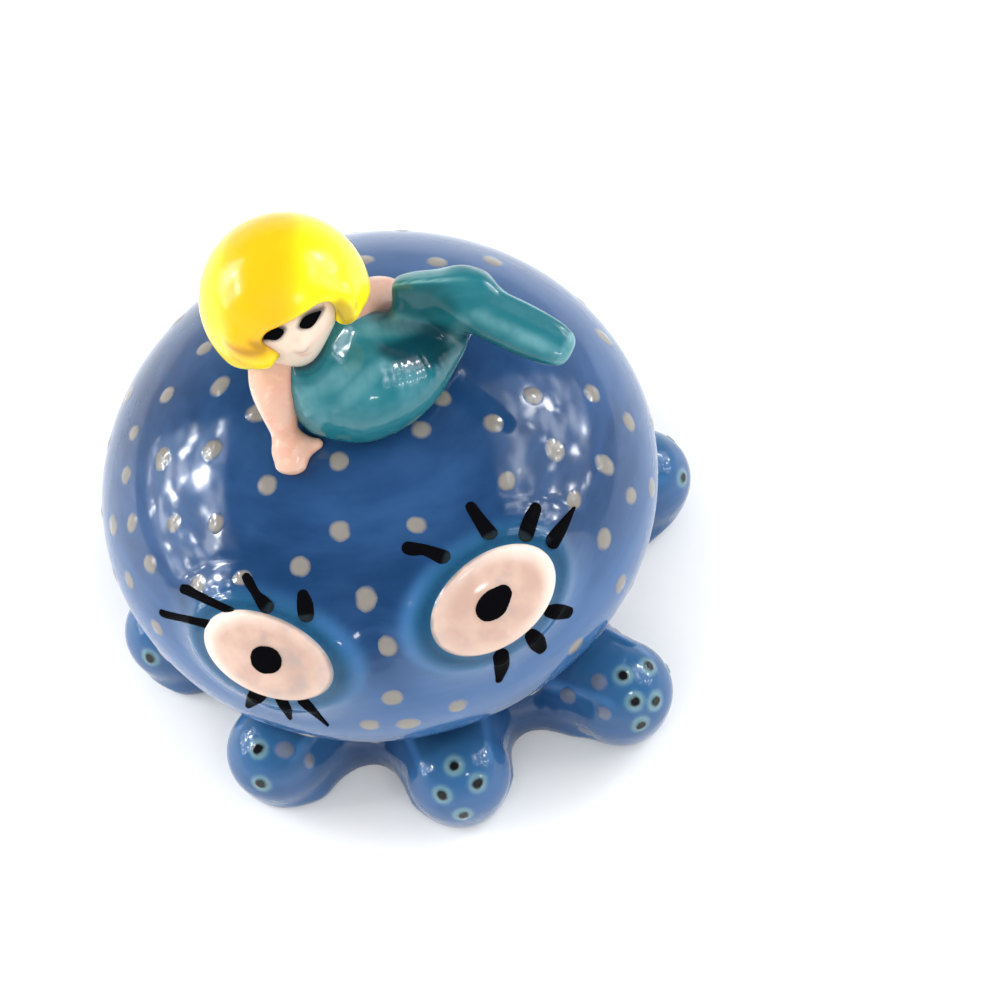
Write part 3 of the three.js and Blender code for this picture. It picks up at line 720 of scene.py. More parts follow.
BODY_RINGS = rings_along(on_crown(BODY), BODY_LEVEL, steps=4)
SWELL_RINGS = [rings_along(on_crown(stations), steps=4) for stations in (BACK_SWELL, HIP_SWELL)]
FRONT_FLUKE_RINGS = rings_along(on_crown(FRONT_FLUKE), FRONT_FLUKE_LEVEL, 5, True, FRONT_FLUKE_POWER)
BACK_FLUKE_RINGS = rings_along(on_crown(BACK_FLUKE), BACK_FLUKE_LEVEL, 5, True, BACK_FLUKE_POWER)
FRONT_ARM_RINGS = rings_along(on_crown(FRONT_ARM))
FRONT_THUMB_RINGS = rings_along(on_crown(FRONT_THUMB))
BACK_ARM_RINGS = rings_along(on_crown(BACK_ARM))


def bedded(form, points, depth=CLEARANCE):
    """A form that stands on the octopus head, pressed a little way into its glaze."""
    return carve(form, head_clay(points) + depth, 0.2)


def tail_clay(points):
    """Torso, tail and both lobes of the fin as one skin."""
    body = rolled(points, BODY_RINGS)
    for rings in SWELL_RINGS:
        body = join(body, rolled(points, rings), 3.0)
    return bedded(join(body, fin_clay(points), 3.2), points)


def fin_clay(points):
    """The two lobes of the fin."""
    return join(rolled(points, FRONT_FLUKE_RINGS), rolled(points, BACK_FLUKE_RINGS), 3.6)


def front_arm_clay(points):
    """The near arm with its mitten hand and thumb."""
    return bedded(join(rolled(points, FRONT_ARM_RINGS), rolled(points, FRONT_THUMB_RINGS), 1.2), points)


def back_arm_clay(points):
    """The far arm."""
    return bedded(rolled(points, BACK_ARM_RINGS), points)


def head_turn():
    """The mermaid's head axes as rows: to the viewer's right, back, and up."""
    turns = {"X": -FACE_LIFT, "Y": -FACE_TILT, "Z": FACE_TURN}
    about = {axis: Matrix.Rotation(math.radians(turn), 3, axis) for axis, turn in turns.items()}
    return np.array(about["Z"] @ about["X"] @ about["Y"]).T


HEAD_AXES = head_turn()


def in_head(points):
    """Points in the mermaid's head frame."""
    return (points - FACE_MIDDLE) @ HEAD_AXES.T


def face_clay(points):
    """The mermaid's face: a ball that narrows to the chin, with a small nose."""
    local = in_head(points)
    low = smooth_step(-local[:, 2] / FACE_RADII[2], -0.15, 1.0)
    slim = local.copy()
    slim[:, 0] = (local[:, 0] + CHIN_SHIFT * low) / (1 - JAW_TAPER * low)
    drop = math.radians(NOSE_DROP)
    nose = FACE_RADII[1] * np.array([0.0, -math.cos(drop), -math.sin(drop)])
    return join(oval(slim, 0.0, FACE_RADII), oval(local, nose, NOSE_RADII), 1.2)


def hair_ball(points):
    """The ball that the hair is cut from."""
    return oval(in_head(points), np.array([0.0, HAIR_SET_BACK, 0.0]), np.full(3, HAIR_RADIUS))


def lock_rings(lock):
    """Rings of a lock that lies on the ball of hair, from its pixel places, depths and half widths."""
    places = on_skin(hair_ball, lock)
    away = unit_rows(places - FACE_MIDDLE)
    stations = [(*(p - row[2] * a), row[3], row[3]) for p, a, row in zip(places, away, lock)]
    return rings_along(stations, steps=4)


LOCK_RINGS = [lock_rings(lock) for lock in LOCKS]


def hair_clay(points):
    """The bobbed hair, with a soft fringe over the face."""
    local = in_head(points)
    ball = hair_ball(points)
    lean = math.atan2(HAIR_BACK_LENGTH - HAIR_FRONT_LENGTH, 2 * HAIR_RADIUS)
    length = (HAIR_FRONT_LENGTH + HAIR_BACK_LENGTH) / 2
    ends = (local[:, 2] + length) * math.cos(lean) + local[:, 1] * math.sin(lean)
    bob = carve(ball, ends, 1.6)
    left, right = FRINGE_EDGES
    across = np.abs(local[:, 0] - (left + right) / 2) - (right - left) / 2
    window = -join(-across, -(local[:, 2] - FRINGE_HEIGHT), 3.0)
    window = np.maximum(window, local[:, 1] + 2.0)
    bob = carve(bob, window, 1.2)
    for rings in LOCK_RINGS:
        bob = join(bob, rolled(points, rings), 1.4)
    return carve(bob, face_clay(points) + CLEARANCE, 0.4)


# Shader and node maths

class Wire:
    """A socket of a node tree. Arithmetic on it adds Math nodes, and node() adds any other node."""

    def __init__(self, tree, socket=None):
        self.tree = tree
        self.socket = socket

    def node(self, kind, settings=None, inputs=None, output=0):
        """Adds a node with its settings and its sockets' values or links, and gives one of its outputs."""
        made = self.tree.nodes.new(kind)
        for name, value in (settings or {}).items():
            setattr(made, name, value)
        for name, value in (inputs or {}).items():
            if isinstance(value, Wire):
                self.tree.links.new(value.socket, made.inputs[name])
            else:
                made.inputs[name].default_value = value
        return Wire(self.tree, made.outputs[output] if len(made.outputs) else None)

    def out(self, name):
        """Another output of the same node."""
        return Wire(self.tree, self.socket.node.outputs[name])

    def maths(self, operation, first, second=0.0):
        """A Math node."""
        return self.node("ShaderNodeMath", {"operation": operation}, {0: first, 1: second})

    def mix(self, factor, first, second):
        """A colour between two colours."""
        return self.node("ShaderNodeMix", {"data_type": "RGBA"}, {0: factor, 6: first, 7: second}, output=2)

    def soft(self, value, low, high):
        """A value that rises softly from 0 at low to 1 at high."""
        settings = {"interpolation_type": "SMOOTHSTEP"}
        return self.node("ShaderNodeMapRange", settings, {0: value, 1: low, 2: high, 3: 0.0, 4: 1.0})

    def noise(self, place, scale, detail=3.0, stretch=(1.0, 1.0, 1.0), shift=0.0):
        """Cloudy noise around one half, on the given coordinates."""
        moves = {"Vector": place, "Scale": stretch, "Location": (0.0, 0.0, shift)}
        mapped = self.node("ShaderNodeMapping", {}, moves)
        return self.node("ShaderNodeTexNoise", {}, {"Vector": mapped, "Scale": scale, "Detail": detail})

    def mark(self, name):
        """A value painted on the piece's points."""
        return self.node("ShaderNodeAttribute", {"attribute_name": name}, output="Fac")

    def __add__(self, other):
        return self.maths("ADD", self, other)

    def __sub__(self, other):
        return self.maths("SUBTRACT", self, other)

    def __rsub__(self, other):
        return self.maths("SUBTRACT", other, self)

    def __mul__(self, other):
        return self.maths("MULTIPLY", self, other)

    def __truediv__(self, other):
        return self.maths("DIVIDE", self, other)

    def __pow__(self, other):
        return self.maths("POWER", self, other)

    __radd__ = __add__
    __rmul__ = __mul__


def new_glaze(name, gleam=0.5):
    """A glossy ceramic finish: its material, a wire to build on, Object coordinates and the shader node."""
    material = bpy.data.materials.new(name)
    material.use_nodes = True
    shader = material.node_tree.nodes["Principled BSDF"]
    shader.inputs["IOR"].default_value = 1.5
    shader.inputs["Specular IOR Level"].default_value = gleam
    wire = Wire(material.node_tree)
    place = wire.node("ShaderNodeTexCoord", output="Object")
    return material, wire, place, shader


def finish_glaze(wire, place, shader, colour, waviness=0.02, gloss=(0.04, 0.14)):
    """Feeds a glaze's colour, and gives it uneven gloss and a faint waviness."""
    wire.tree.links.new(colour.socket, shader.inputs["Base Color"])
    cloud = wire.noise(place, 240.0)
    roughness = gloss[0] + (gloss[1] - gloss[0]) * cloud
    wire.tree.links.new(roughness.socket, shader.inputs["Roughness"])
    swell = wire.noise(place, 190.0, 1.0)
    bump = wire.node("ShaderNodeBump", {}, {"Strength": 1.0, "Distance": waviness * MM, "Height": swell})
    wire.tree.links.new(bump.socket, shader.inputs["Normal"])


def blue_colour(wire, place, colours):
    """The brushed blue of the octopus."""
    cloud = wire.noise(place, 60.0, 4.0)
    strokes = wire.noise(place, 70.0, 5.0, (0.5, 0.9, 5.0))
    fine = wire.noise(place, 420.0, 3.0, (0.35, 0.7, 2.4))
    light = wire.soft(0.45 * cloud + 0.35 * strokes + 0.2 * fine, 0.36, 0.68)
    return wire.mix(0.55 * light, tuple(colours.blue), tuple(colours.blue_light))


def octopus_glaze(colours):
    """Blue glaze with painted shade, painted sheen and a teal tint, all painted on the points."""
    material, wire, place, shader = new_glaze("octopus_blue_glaze")
    colour = blue_colour(wire, place, colours)
    # Painted sheen in pale blue, then a teal tint, then painted shade in deep blue
    colour = wire.mix(0.6 * wire.mark("light"), colour, tuple(colours.blue_sheen))
    colour = wire.mix(0.55 * wire.mark("teal"), colour, tuple(colours.teal))
    colour = wire.mix(0.85 * wire.mark("painted_shade"), colour, tuple(colours.blue_shaded))
    runny = wire.mark("halo") * (0.25 + 1.5 * wire.noise(place, 450.0))
    colour = wire.mix(0.55 * wire.soft(runny, 0.0, 1.0), colour, tuple(colours.halo))
    finish_glaze(wire, place, shader, colour, 0.05)
    return material


def dot_glaze(colours):
    """Warm grey dots that fade into the blue round their edge."""
    material, wire, place, shader = new_glaze("dot_grey_enamel")
    ragged = wire.mark("rim") + 0.45 * (wire.noise(place, 520.0) - 0.5)
    cover = wire.mark("cover") * (1 - wire.soft(ragged, 0.52, 0.96))
    cloud = wire.noise(place, 700.0)
    grey = wire.mix(cloud, tuple(0.82 * c for c in colours.dot[:3]) + (1.0,), tuple(colours.dot))
    # Painted sheen in pale blue on the blue round each dot, as on the skin under it
    blue = wire.mix(0.6 * wire.mark("light"), blue_colour(wire, place, colours), tuple(colours.blue_sheen))
    colour = wire.mix(cover, blue, grey)
    finish_glaze(wire, place, shader, colour)
    return material


def sucker_glaze(colours):
    """A black centre in a pale teal ring that runs out into the blue."""
    material, wire, place, shader = new_glaze("sucker_black_enamel")
    ragged = wire.mark("rim") + 0.5 * (wire.noise(place, 700.0) - 0.5)
    centre = 1 - wire.soft(ragged, 0.42, 0.8)
    runny = 0.25 + 1.5 * wire.noise(place, 450.0)
    blue = blue_colour(wire, place, colours)
    colour = wire.mix(0.55 * wire.soft(runny, 0.0, 1.0), blue, tuple(colours.halo))
    colour = wire.mix(centre, colour, tuple(colours.ink))
    finish_glaze(wire, place, shader, colour)
    return material


def ink_enamel(colours):
    """Glossy black enamel, thin and olive at the root of a stroke."""
    material, wire, place, shader = new_glaze("lash_black_enamel", gleam=0.004)
    thin = wire.soft(wire.mark("thin") + 0.5 * (wire.noise(place, 900.0) - 0.5), 0.6, 1.3)
    colour = wire.mix(0.6 * thin, tuple(colours.ink), paint("stroke_root"))
    finish_glaze(wire, place, shader, colour, 0.02, (0.2, 0.4))
    return material


def eye_glaze(colours):
    """Pale pink with faint blotches, greyed where the blue ran over its rim."""
    material, wire, place, shader = new_glaze("eye_pink_glaze")
    cloud = wire.soft(wire.noise(place, 260.0, 3.0), 0.35, 0.7)
    colour = wire.mix(0.6 * cloud, tuple(colours.eye), paint("eye_cloud"))
    blotch = wire.soft(wire.noise(place, 230.0, 2.0, (1.0, 1.3, 0.8)), 0.5, 0.68)
    colour = wire.mix(0.45 * blotch, colour, paint("eye_blotch"))
    rim = wire.mark("rim") + 0.05 * (wire.noise(place, 500.0) - 0.5)
    outer = wire.mark("outer")
    # Cream ring: partly the eye's paler lip, partly a painted highlight strongest on the outer side
    cream = wire.soft(rim, 0.66, 0.95) * (0.25 + 0.7 * outer)
    colour = wire.mix(cream, colour, paint("eye_cream_and_highlight"))
    # Painted shadow along the inner edge
    colour = wire.mix(0.6 * wire.soft(rim, 0.95, 1.0) * (1 - outer), colour, paint("eye_rim_shadow"))
    colour = wire.mix(0.9 * wire.soft(rim, 0.98, 1.05), colour, paint("eye_edge"))
    finish_glaze(wire, place, shader, colour)
    return material


def turquoise_glaze(colours):
    """Turquoise with brushed-out clouds, painted shade in folds and hollows, and paler strokes and painted
    sheen.
    """
    material, wire, place, shader = new_glaze("tail_turquoise_glaze")
    cloud = wire.soft(wire.noise(place, 150.0, 3.0), 0.42, 0.72)
    strokes = wire.soft(wire.noise(place, 300.0, 4.0, (0.5, 1.0, 1.6)), 0.4, 0.75)
    colour = wire.mix(0.24 * cloud + 0.18 * strokes, tuple(colours.turquoise), tuple(colours.turquoise_light))
    colour = wire.mix(0.85 * wire.mark("painted_shade"), colour, tuple(colours.turquoise_shaded))
    # Paler brush strokes of glaze mixed with painted sheen and highlights
    brush_and_sheen = wire.mark("brush_and_sheen") * (0.2 + 1.3 * wire.noise(place, 330.0, 4.0, (1.0, 0.6, 1.0)))
    colour = wire.mix(0.75 * wire.soft(brush_and_sheen, 0.05, 1.0), colour, paint("tail_brush_and_sheen"))
    finish_glaze(wire, place, shader, colour, 0.02)
    return material


def arm_glaze(colours):
    """A pale skin glaze with a warmer blush, a painted highlight on one side, and painted shade at the joins.
    """
    material, wire, place, shader = new_glaze("arm_skin_glaze")
    cloud = wire.soft(wire.noise(place, 260.0, 3.0), 0.4, 0.75)
    colour = wire.mix(0.7 * cloud, tuple(colours.skin), paint("arm_blush"))
    fine = wire.soft(wire.noise(place, 700.0, 4.0), 0.5, 0.75)
    colour = wire.mix(0.3 * fine, colour, paint("arm_mottle"))
    colour = wire.mix(0.75 * wire.mark("painted_highlight"), colour, paint("arm_highlight"))
    colour = wire.mix(0.6 * wire.mark("painted_shade"), colour, paint("arm_shade"))
    finish_glaze(wire, place, shader, colour)
    return material


def face_glaze(colours):
    """The paler face, a faint blush, smudged paint round the eyes, and painted shade there and under the
    hair.
    """
    material, wire, place, shader = new_glaze("face_pale_glaze")
    cloud = wire.soft(wire.noise(place, 240.0, 3.0), 0.45, 0.75)
    colour = wire.mix(0.4 * cloud, tuple(colours.face), paint("face_blush"))
    colour = wire.mix(0.5 * wire.mark("painted_shade"), colour, paint("face_shade"))
    colour = wire.mix(0.45 * wire.mark("mouth"), colour, paint("mouth"))
    smudge_and_shade = wire.mark("smudge_and_shade") + 0.3 * (wire.noise(place, 900.0) - 0.5)
    colour = wire.mix(0.9 * wire.soft(smudge_and_shade, 0.1, 0.9), colour, paint("eye_smudge_and_shade"))
    finish_glaze(wire, place, shader, colour)
    return material


def hair_glaze(colours):
    """Lemon yellow, amber where the glaze is thick on the crown."""
    material, wire, place, shader = new_glaze("hair_yellow_glaze")
    cloud = 0.3 * (wire.noise(place, 220.0, 3.0) - 0.5)
    amber = wire.soft(wire.mark("amber") + cloud, 0.05, 0.95)
    colour = wire.mix(amber, tuple(colours.hair), tuple(colours.hair_amber))
    # Painted shade under the locks and at the joins, with a dark speck on the flip
    colour = wire.mix(0.8 * wire.mark("painted_shade"), colour, paint("hair_shade"))
    finish_glaze(wire, place, shader, colour, 0.02, (0.12, 0.24))
    return material


# Pieces

def new_piece(name, points, faces, marks=None):
    """A smooth mesh object at the origin, from millimetre points, with painted marks on its points."""
    mesh = bpy.data.meshes.new(name)
    mesh.from_pydata((np.asarray(points) * MM).tolist(), [], [list(face) for face in faces])
    mesh.shade_smooth()
    for mark, values in (marks or {}).items():
        mesh.attributes.new(mark, "FLOAT", "POINT").data.foreach_set("value", np.asarray(values, np.float32))
    piece = bpy.data.objects.new(name, mesh)
    bpy.context.scene.collection.objects.link(piece)
    return piece


def seat(piece, material, slot, *nodes):
    """Gives a piece its finish, and its place in the frame."""
    piece.data.materials.clear()
    piece.data.materials.append(material)
    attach(piece, "root")
    if nodes:
        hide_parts(*nodes)


def box_round(places, margin):
    """Corners of a box round some points."""
    places = np.asarray(places)
    return places.min(axis=0) - margin, places.max(axis=0) + margin


def rings_box(*rings):
    """Corners of a box round rolled clay."""
    boxes = [box_round(r["middle"], max(r["across"].max(), r["deep"].max()) + 1.0) for r in rings]
    return np.min([b[0] for b in boxes], axis=0), np.max([b[1] for b in boxes], axis=0)


def stroke_rings(clay, stroke, thickness):
    """Flat rings of a brush stroke that lies on a form's skin."""
    rows = smooth_path(stroke, 5)
    places = on_skin(clay, rows)
    stations = np.column_stack([places, rows[:, 2], np.full(len(rows), thickness)])
    return rings_along(stations, outward(clay, places), steps=1, flat=True)


def brushed(clay, points, strokes, soft):
    """How much of some soft brush strokes lies on each point of a skin."""
    cover = np.zeros(len(points))
    for stroke in strokes:
        away = rolled(points, stroke_rings(clay, stroke, 1.5))
        cover = np.maximum(cover, 1 - smooth_step(away, -soft, soft))
    return cover


def strokes_on(clay, strokes, thickness, cell):
    """Raised brush strokes on a form's skin: points, faces, and nearness to the stroke's root."""
    all_points, all_faces, all_thin = [], [], []
    count = 0
    for stroke in strokes:
        rings = stroke_rings(clay, stroke, thickness)
        points, faces = skin_of(lambda p, r=rings: rolled(p, r), *rings_box(rings), cell)
        root, tip = rings["middle"][0], rings["middle"][-1]
        along = (points - root) @ (tip - root) / np.square(tip - root).sum()
        all_points.append(points)
        all_faces.append(faces + count)
        all_thin.append(1 - smooth_step(along, -0.1, 0.2))
        count += len(points)
    return np.vstack(all_points), np.vstack(all_faces), np.concatenate(all_thin)


def bump_tree():
    """Geometry nodes that set painted bumps or cups on points, each turned to the skin there."""
    tree = bpy.data.node_groups.new("painted_bumps", "GeometryNodeTree")
    tree.interface.new_socket("Places", in_out="INPUT", socket_type="NodeSocketGeometry")
    for name in ("Rise", "Dimple", "Wobble", "Seed"):
        tree.interface.new_socket(name, in_out="INPUT", socket_type="NodeSocketFloat")
    tree.interface.new_socket("Glaze", in_out="INPUT", socket_type="NodeSocketMaterial")
    tree.interface.new_socket("Bumps", in_out="OUTPUT", socket_type="NodeSocketGeometry")
    wire = Wire(tree)
    given = wire.node("NodeGroupInput")
    rise, dimple = given.out("Rise"), given.out("Dimple")
    ball = wire.node("GeometryNodeMeshUVSphere", {}, {"Segments": 22, "Rings": 18, "Radius": 1.0})
    place = wire.node("GeometryNodeInputPosition")
    flat = wire.node("ShaderNodeSeparateXYZ", {}, {0: place})
    x, y, z = flat.out("X"), flat.out("Y"), flat.out("Z")
    rim = (x * x + y * y) ** 0.5
    marked = wire.node(
        "GeometryNodeStoreNamedAttribute", {"data_type": "FLOAT", "domain": "POINT"},
        {"Geometry": ball, "Name": "rim", "Value": rim},
    )
    bell = (1 - rim * rim) ** 2.0
    cup = (1 - wire.soft(rim, 0.1, 0.6)) * dimple / rise
    above = wire.maths("GREATER_THAN", z, -0.001)
    height = above * (bell - cup) + (1 - above) * z - 0.08
    marked = wire.node(
        "GeometryNodeStoreNamedAttribute", {"data_type": "FLOAT", "domain": "POINT"},
        {"Geometry": marked, "Name": "height", "Value": height},
    )
    low = wire.node("ShaderNodeCombineXYZ", {}, {"X": x, "Y": y, "Z": height})
    bump = wire.node("GeometryNodeSetPosition", {}, {"Geometry": marked, "Position": low})
    size, stretch, spin = (
        wire.node("GeometryNodeInputNamedAttribute", {"data_type": "FLOAT"}, {"Name": name})
        for name in ("size", "stretch", "spin")
    )
    lean = wire.node("GeometryNodeInputNamedAttribute", {"data_type": "FLOAT_VECTOR"}, {"Name": "lean"})
    upright = wire.node("FunctionNodeAlignRotationToVector", {"axis": "Z"}, {"Vector": lean})
    twist = wire.node("FunctionNodeAxisAngleToRotation", {}, {"Axis": (0.0, 0.0, 1.0), "Angle": spin})
    turned = wire.node(
        "FunctionNodeRotateRotation", {"rotation_space": "LOCAL"}, {"Rotation": upright, "Rotate By": twist}
    )
    scale = wire.node("ShaderNodeCombineXYZ", {}, {"X": size * stretch, "Y": size / stretch, "Z": rise})
    bumps = wire.node(
        "GeometryNodeInstanceOnPoints", {},
        {"Points": given.out("Places"), "Instance": bump, "Rotation": turned, "Scale": scale},
    )
    real = wire.node("GeometryNodeRealizeInstances", {}, {"Geometry": bumps})
    here = wire.node("GeometryNodeInputPosition")
    cloud = wire.node(
        "ShaderNodeTexNoise", {"noise_dimensions": "4D"},
        {"Vector": here, "W": given.out("Seed"), "Scale": 420.0, "Detail": 2.0},
    ).out("Color")
    centred = wire.node("ShaderNodeVectorMath", {"operation": "SUBTRACT"}, {0: cloud, 1: (0.5, 0.5, 0.5)})
    wobble = {0: centred, "Scale": given.out("Wobble")}
    shift = wire.node("ShaderNodeVectorMath", {"operation": "SCALE"}, wobble)
    uneven = wire.node("GeometryNodeSetPosition", {}, {"Geometry": real, "Offset": shift})
    smooth = wire.node("GeometryNodeSetShadeSmooth", {}, {"Geometry": uneven})
    glazed = wire.node("GeometryNodeSetMaterial", {}, {"Geometry": smooth, "Material": given.out("Glaze")})
    wire.node("NodeGroupOutput", {}, {"Bumps": glazed})
    return tree


def bumps_on(name, places, leans, values, seed, inputs, skins):
    """A plain mesh of painted bumps, one at each place, each with its own values for size and glaze. They lie
    on the skins of the given forms, which carry the given numbers of them in turn."""
    rng = np.random.default_rng(seed)
    mesh = bpy.data.meshes.new(f"{name}_places")
    mesh.from_pydata((places * MM).tolist(), [], [])
    stretch = rng.uniform(0.9, 1.12, len(places))
    spin = rng.uniform(0, math.pi, len(places))
    values = {**values, "stretch": stretch, "spin": spin}
    for key, numbers in values.items():
        mesh.attributes.new(key, "FLOAT", "POINT").data.foreach_set("value", numbers.astype(np.float32))
    rows = leans.ravel().astype(np.float32)
    mesh.attributes.new("lean", "FLOAT_VECTOR", "POINT").data.foreach_set("vector", rows)
    carrier = bpy.data.objects.new(f"{name}_places", mesh)
    bpy.context.scene.collection.objects.link(carrier)
    modifier = carrier.modifiers.new("painted bumps", "NODES")
    modifier.node_group = bpy.data.node_groups.get("painted_bumps") or bump_tree()
    for item in modifier.node_group.interface.items_tree:
        if item.in_out == "INPUT" and item.name in inputs:
            modifier[item.identifier] = inputs[item.name]
    seen = carrier.evaluated_get(bpy.context.evaluated_depsgraph_get())
    made = bpy.data.meshes.new_from_object(seen)
    carrier.modifiers.remove(modifier)
    bpy.data.objects.remove(carrier)
    if not len(made.polygons):
        raise RuntimeError(f"{name} came out empty")
    points, heights = np.empty(3 * len(made.vertices)), np.empty(len(made.vertices))
    made.vertices.foreach_get("co", points)
    made.attributes["height"].data.foreach_get("value", heights)
    points, heights = points.reshape(-1, 3) / MM, heights[:, None] * inputs["Rise"] / MM
    each, done = len(points) // len(places), 0
    for clay, count in skins:
        part = slice(done * each, (done + count) * each)
        foot = settle(clay, points[part], 1.0)
        points[part] = foot + heights[part] * outward(clay, foot)
        done += count
    made.vertices.foreach_set("co", (points * MM).ravel())
    made.update()
    made.name = name
    piece = bpy.data.objects.new(name, made)
    bpy.context.scene.collection.objects.link(piece)
    return piece


def dots_behind(spacing, seed, taken):
    """Places for dots where the picture doesn't reach, in the same loose spacing."""
    rng = np.random.default_rng(seed)
    kept = list(taken)
    added = []
    for _ in range(DOT_TRIES):
        turn, height = rng.uniform(0, 2 * math.pi), rng.uniform(*DOT_HEIGHTS)
        flat = math.sqrt(1 - height * height)
        place = HEAD_MIDDLE + HEAD_RADII * (flat * math.cos(turn), flat * math.sin(turn), height)
        normal = unit((place - HEAD_MIDDLE) / np.square(HEAD_RADII))
        if normal @ unit(CAMERA_PLACE - place) > DOT_SIGHT:
            continue
        if min(eye_share(place[None], eye)[0] for eye in EYES.values()) < DOT_EYE_SHARE:
            continue
        if min(np.linalg.norm(np.array(kept) - place, axis=1)) < spacing:
            continue
        kept.append(place)
        added.append(place)
    return np.array(added)


def head_reflection(lean):
    """Painted reflection on the head, by the lean of its skin: palest on the steep sides and behind."""
    behind = 0.6 * smooth_step(lean @ unit((0.5, 0.8, 0.2)), 0.3, 0.8)
    return np.maximum(0.75 * smooth_step(lean[:, 2], 0.75, 0.1), behind)


class FIGURINE_OT_octopus_head(bpy.types.Operator):
    """Builds the octopus head: a soft round shell with a low mound under each eye"""

    bl_idname = "figurine.octopus_head"
    bl_label = "Octopus Head"

    def execute(self, context):
        reach = HEAD_RADIUS + 2.5
        low, high = (-reach, -reach, SKIRT_HEIGHT - 1), (reach, reach, CROWN[2] + 2)
        points, faces = skin_of(head_shell, low, high, CELLS["head"], soften=0)
        share = np.min([eye_share(points, eye) for eye in EYES.values()], axis=0)
        # Painted shade: darker towards the bottom of the head, and in a thin ring just outside each eye
        recess = np.exp(-np.square((share - 1.1) / 0.07))
        painted_shade = np.maximum(0.8 * smooth_step(points[:, 2], 27.0, 11.0), 0.5 * recess)
        light = head_reflection(outward(head_clay, points))
        # Painted highlight: a pale ring along each mound's ridge, strongest on the nose side
        for eye in EYES.values():
            inner = (eye["middle"] - points) @ eye["axes"][0] / EYE_HALF_WIDTH
            ring = np.exp(-np.square((eye_share(points, eye) - 1.34) / 0.12))
            light = np.maximum(light, ring * (0.25 + 0.75 * smooth_step(inner, 0.1, 1.0)))
        marks = {"teal": 1 - smooth_step(share, 1.0, 1.6), "painted_shade": painted_shade, "light": light, "halo": 0 * light}
        piece = new_piece("octopus_head_skin", points, faces, marks)
        seat(piece, octopus_glaze(context.scene.figurine_octopus), "blue_glaze", "octopus_head")
        return {"FINISHED"}


def dome_height(share):
    """Height of an eye over the mound's skin, by distance from its middle."""
    crown = (EYE_CROWN - 0.35) * np.sqrt(np.clip(1 - share**2.2, 0.0, 1.0))
    lip = EYE_LIP * np.exp(-np.square((share - 0.95) / 0.06))
    return crown + lip - 0.6 * smooth_step(share, 0.98, EYE_OVERLAP)


def dome_clay(eye):
    """An eye's crowned face as a form: the mound's skin lifted inside the oval."""
    def clay(points):
        share = eye_share(points, eye)
        height = np.where(share < EYE_OVERLAP, dome_height(share), 0.0)
        return head_clay(points - height[:, None] * eye["axes"][2])
    return clay


def eye_dome(eye):
    """A closed, crowned oval that follows the mound under it: points, faces and distance from the middle."""
    sides, face_rings = 96, 26
    shares = EYE_OVERLAP * np.sin(np.linspace(0, math.pi / 2, face_rings + 1))[1:]
    rows = [(s, "face") for s in shares] + [(1.0, "back"), (0.5, "back")]
    turns = np.linspace(0, 2 * math.pi, sides, endpoint=False)
    points, rim = [], []
    corner, up, normal = eye["axes"]
    for share, kind in rows:
        flat = eye["middle"] + share * (
            eye["half"][0] * np.cos(turns)[:, None] * corner + eye["half"][1] * np.sin(turns)[:, None] * up
        )
        foot = flat + mound_lift(flat, normal)[:, None] * normal
        height = dome_height(np.full(sides, share)) if kind == "face" else np.full(sides, -EYE_SEAT_DEPTH)
        points.append(foot + height[:, None] * normal)
        rim.append(np.full(sides, share))
    top = eye["middle"] + (mound_lift(eye["middle"][None], normal)[0] + float(dome_height(0.0))) * normal
    bottom = points[-1].mean(axis=0)
    points = np.vstack([*points, top, bottom])
    rim = np.concatenate([*rim, [0.0, 0.0]])
    faces = []
    count = len(rows)
    for k in range(sides):
        n = (k + 1) % sides
        faces.append((len(points) - 2, k, n))
        for start in range(0, (count - 1) * sides, sides):
            faces.append((start + k, start + sides + k, start + sides + n, start + n))
        faces.append((len(points) - 1, (count - 1) * sides + n, (count - 1) * sides + k))
    if eye["side"] < 0:
        faces = [tuple(reversed(face)) for face in faces]
    return points, faces, rim


def mound_lift(flat, normal):
    """How far along an eye's normal the mound's skin lies from points of the eye's plane."""
    lift = np.full(len(flat), MOUND_HEIGHT)
    for _ in range(40):
        lift -= 0.8 * head_clay(flat + lift[:, None] * normal)
    return lift


class FIGURINE_OT_octopus_eyes(bpy.types.Operator):
    """Sets the two crowned eyes in their mounds, with their painted pupils"""

    bl_idname = "figurine.octopus_eyes"
    bl_label = "Octopus Eyes"

    def execute(self, context):
        colours = context.scene.figurine_octopus
        glaze = eye_glaze(colours)
        ink = ink_enamel(colours)
        for name, eye in EYES.items():
            points, faces, rim = eye_dome(eye)
            # How far towards the outer corner, where the painted highlight on the eye is strongest
            outer = (points - eye["middle"]) @ eye["axes"][0] / EYE_HALF_WIDTH
            marks = {"rim": rim, "outer": smooth_step(outer, -0.15, 0.75)}
            piece = new_piece(f"{name}_dome", points, faces, marks)
            seat(piece, glaze, "eye_glaze", name)
            paint_size = PAINT_DEPTHS["pupils"], CELLS["pupils"]
            points, faces, thin = strokes_on(dome_clay(eye), [PUPILS[name]], *paint_size)
            pupil = new_piece(f"{name}_pupil", points, faces, {"thin": 0 * thin})
            seat(pupil, ink, "black_enamel")
        return {"FINISHED"}


class FIGURINE_OT_lashes(bpy.types.Operator):
    """Paints the lashes round both eyes as raised black strokes"""

    bl_idname = "figurine.lashes"
    bl_label = "Lashes"

    def execute(self, context):
        points, faces, thin = strokes_on(head_clay, LASHES, PAINT_DEPTHS["lashes"], CELLS["lashes"])
        for eye in EYES.values():
            above = smooth_step((points - eye["middle"]) @ eye["axes"][1], 0.0, 3.0)
            thin = np.where(eye_share(points, eye) < 2.2, thin * above, thin)
        piece = new_piece("octopus_lashes", points, faces, {"thin": thin})
        seat(piece, bpy.data.materials["lash_black_enamel"], "black_enamel")
        return {"FINISHED"}


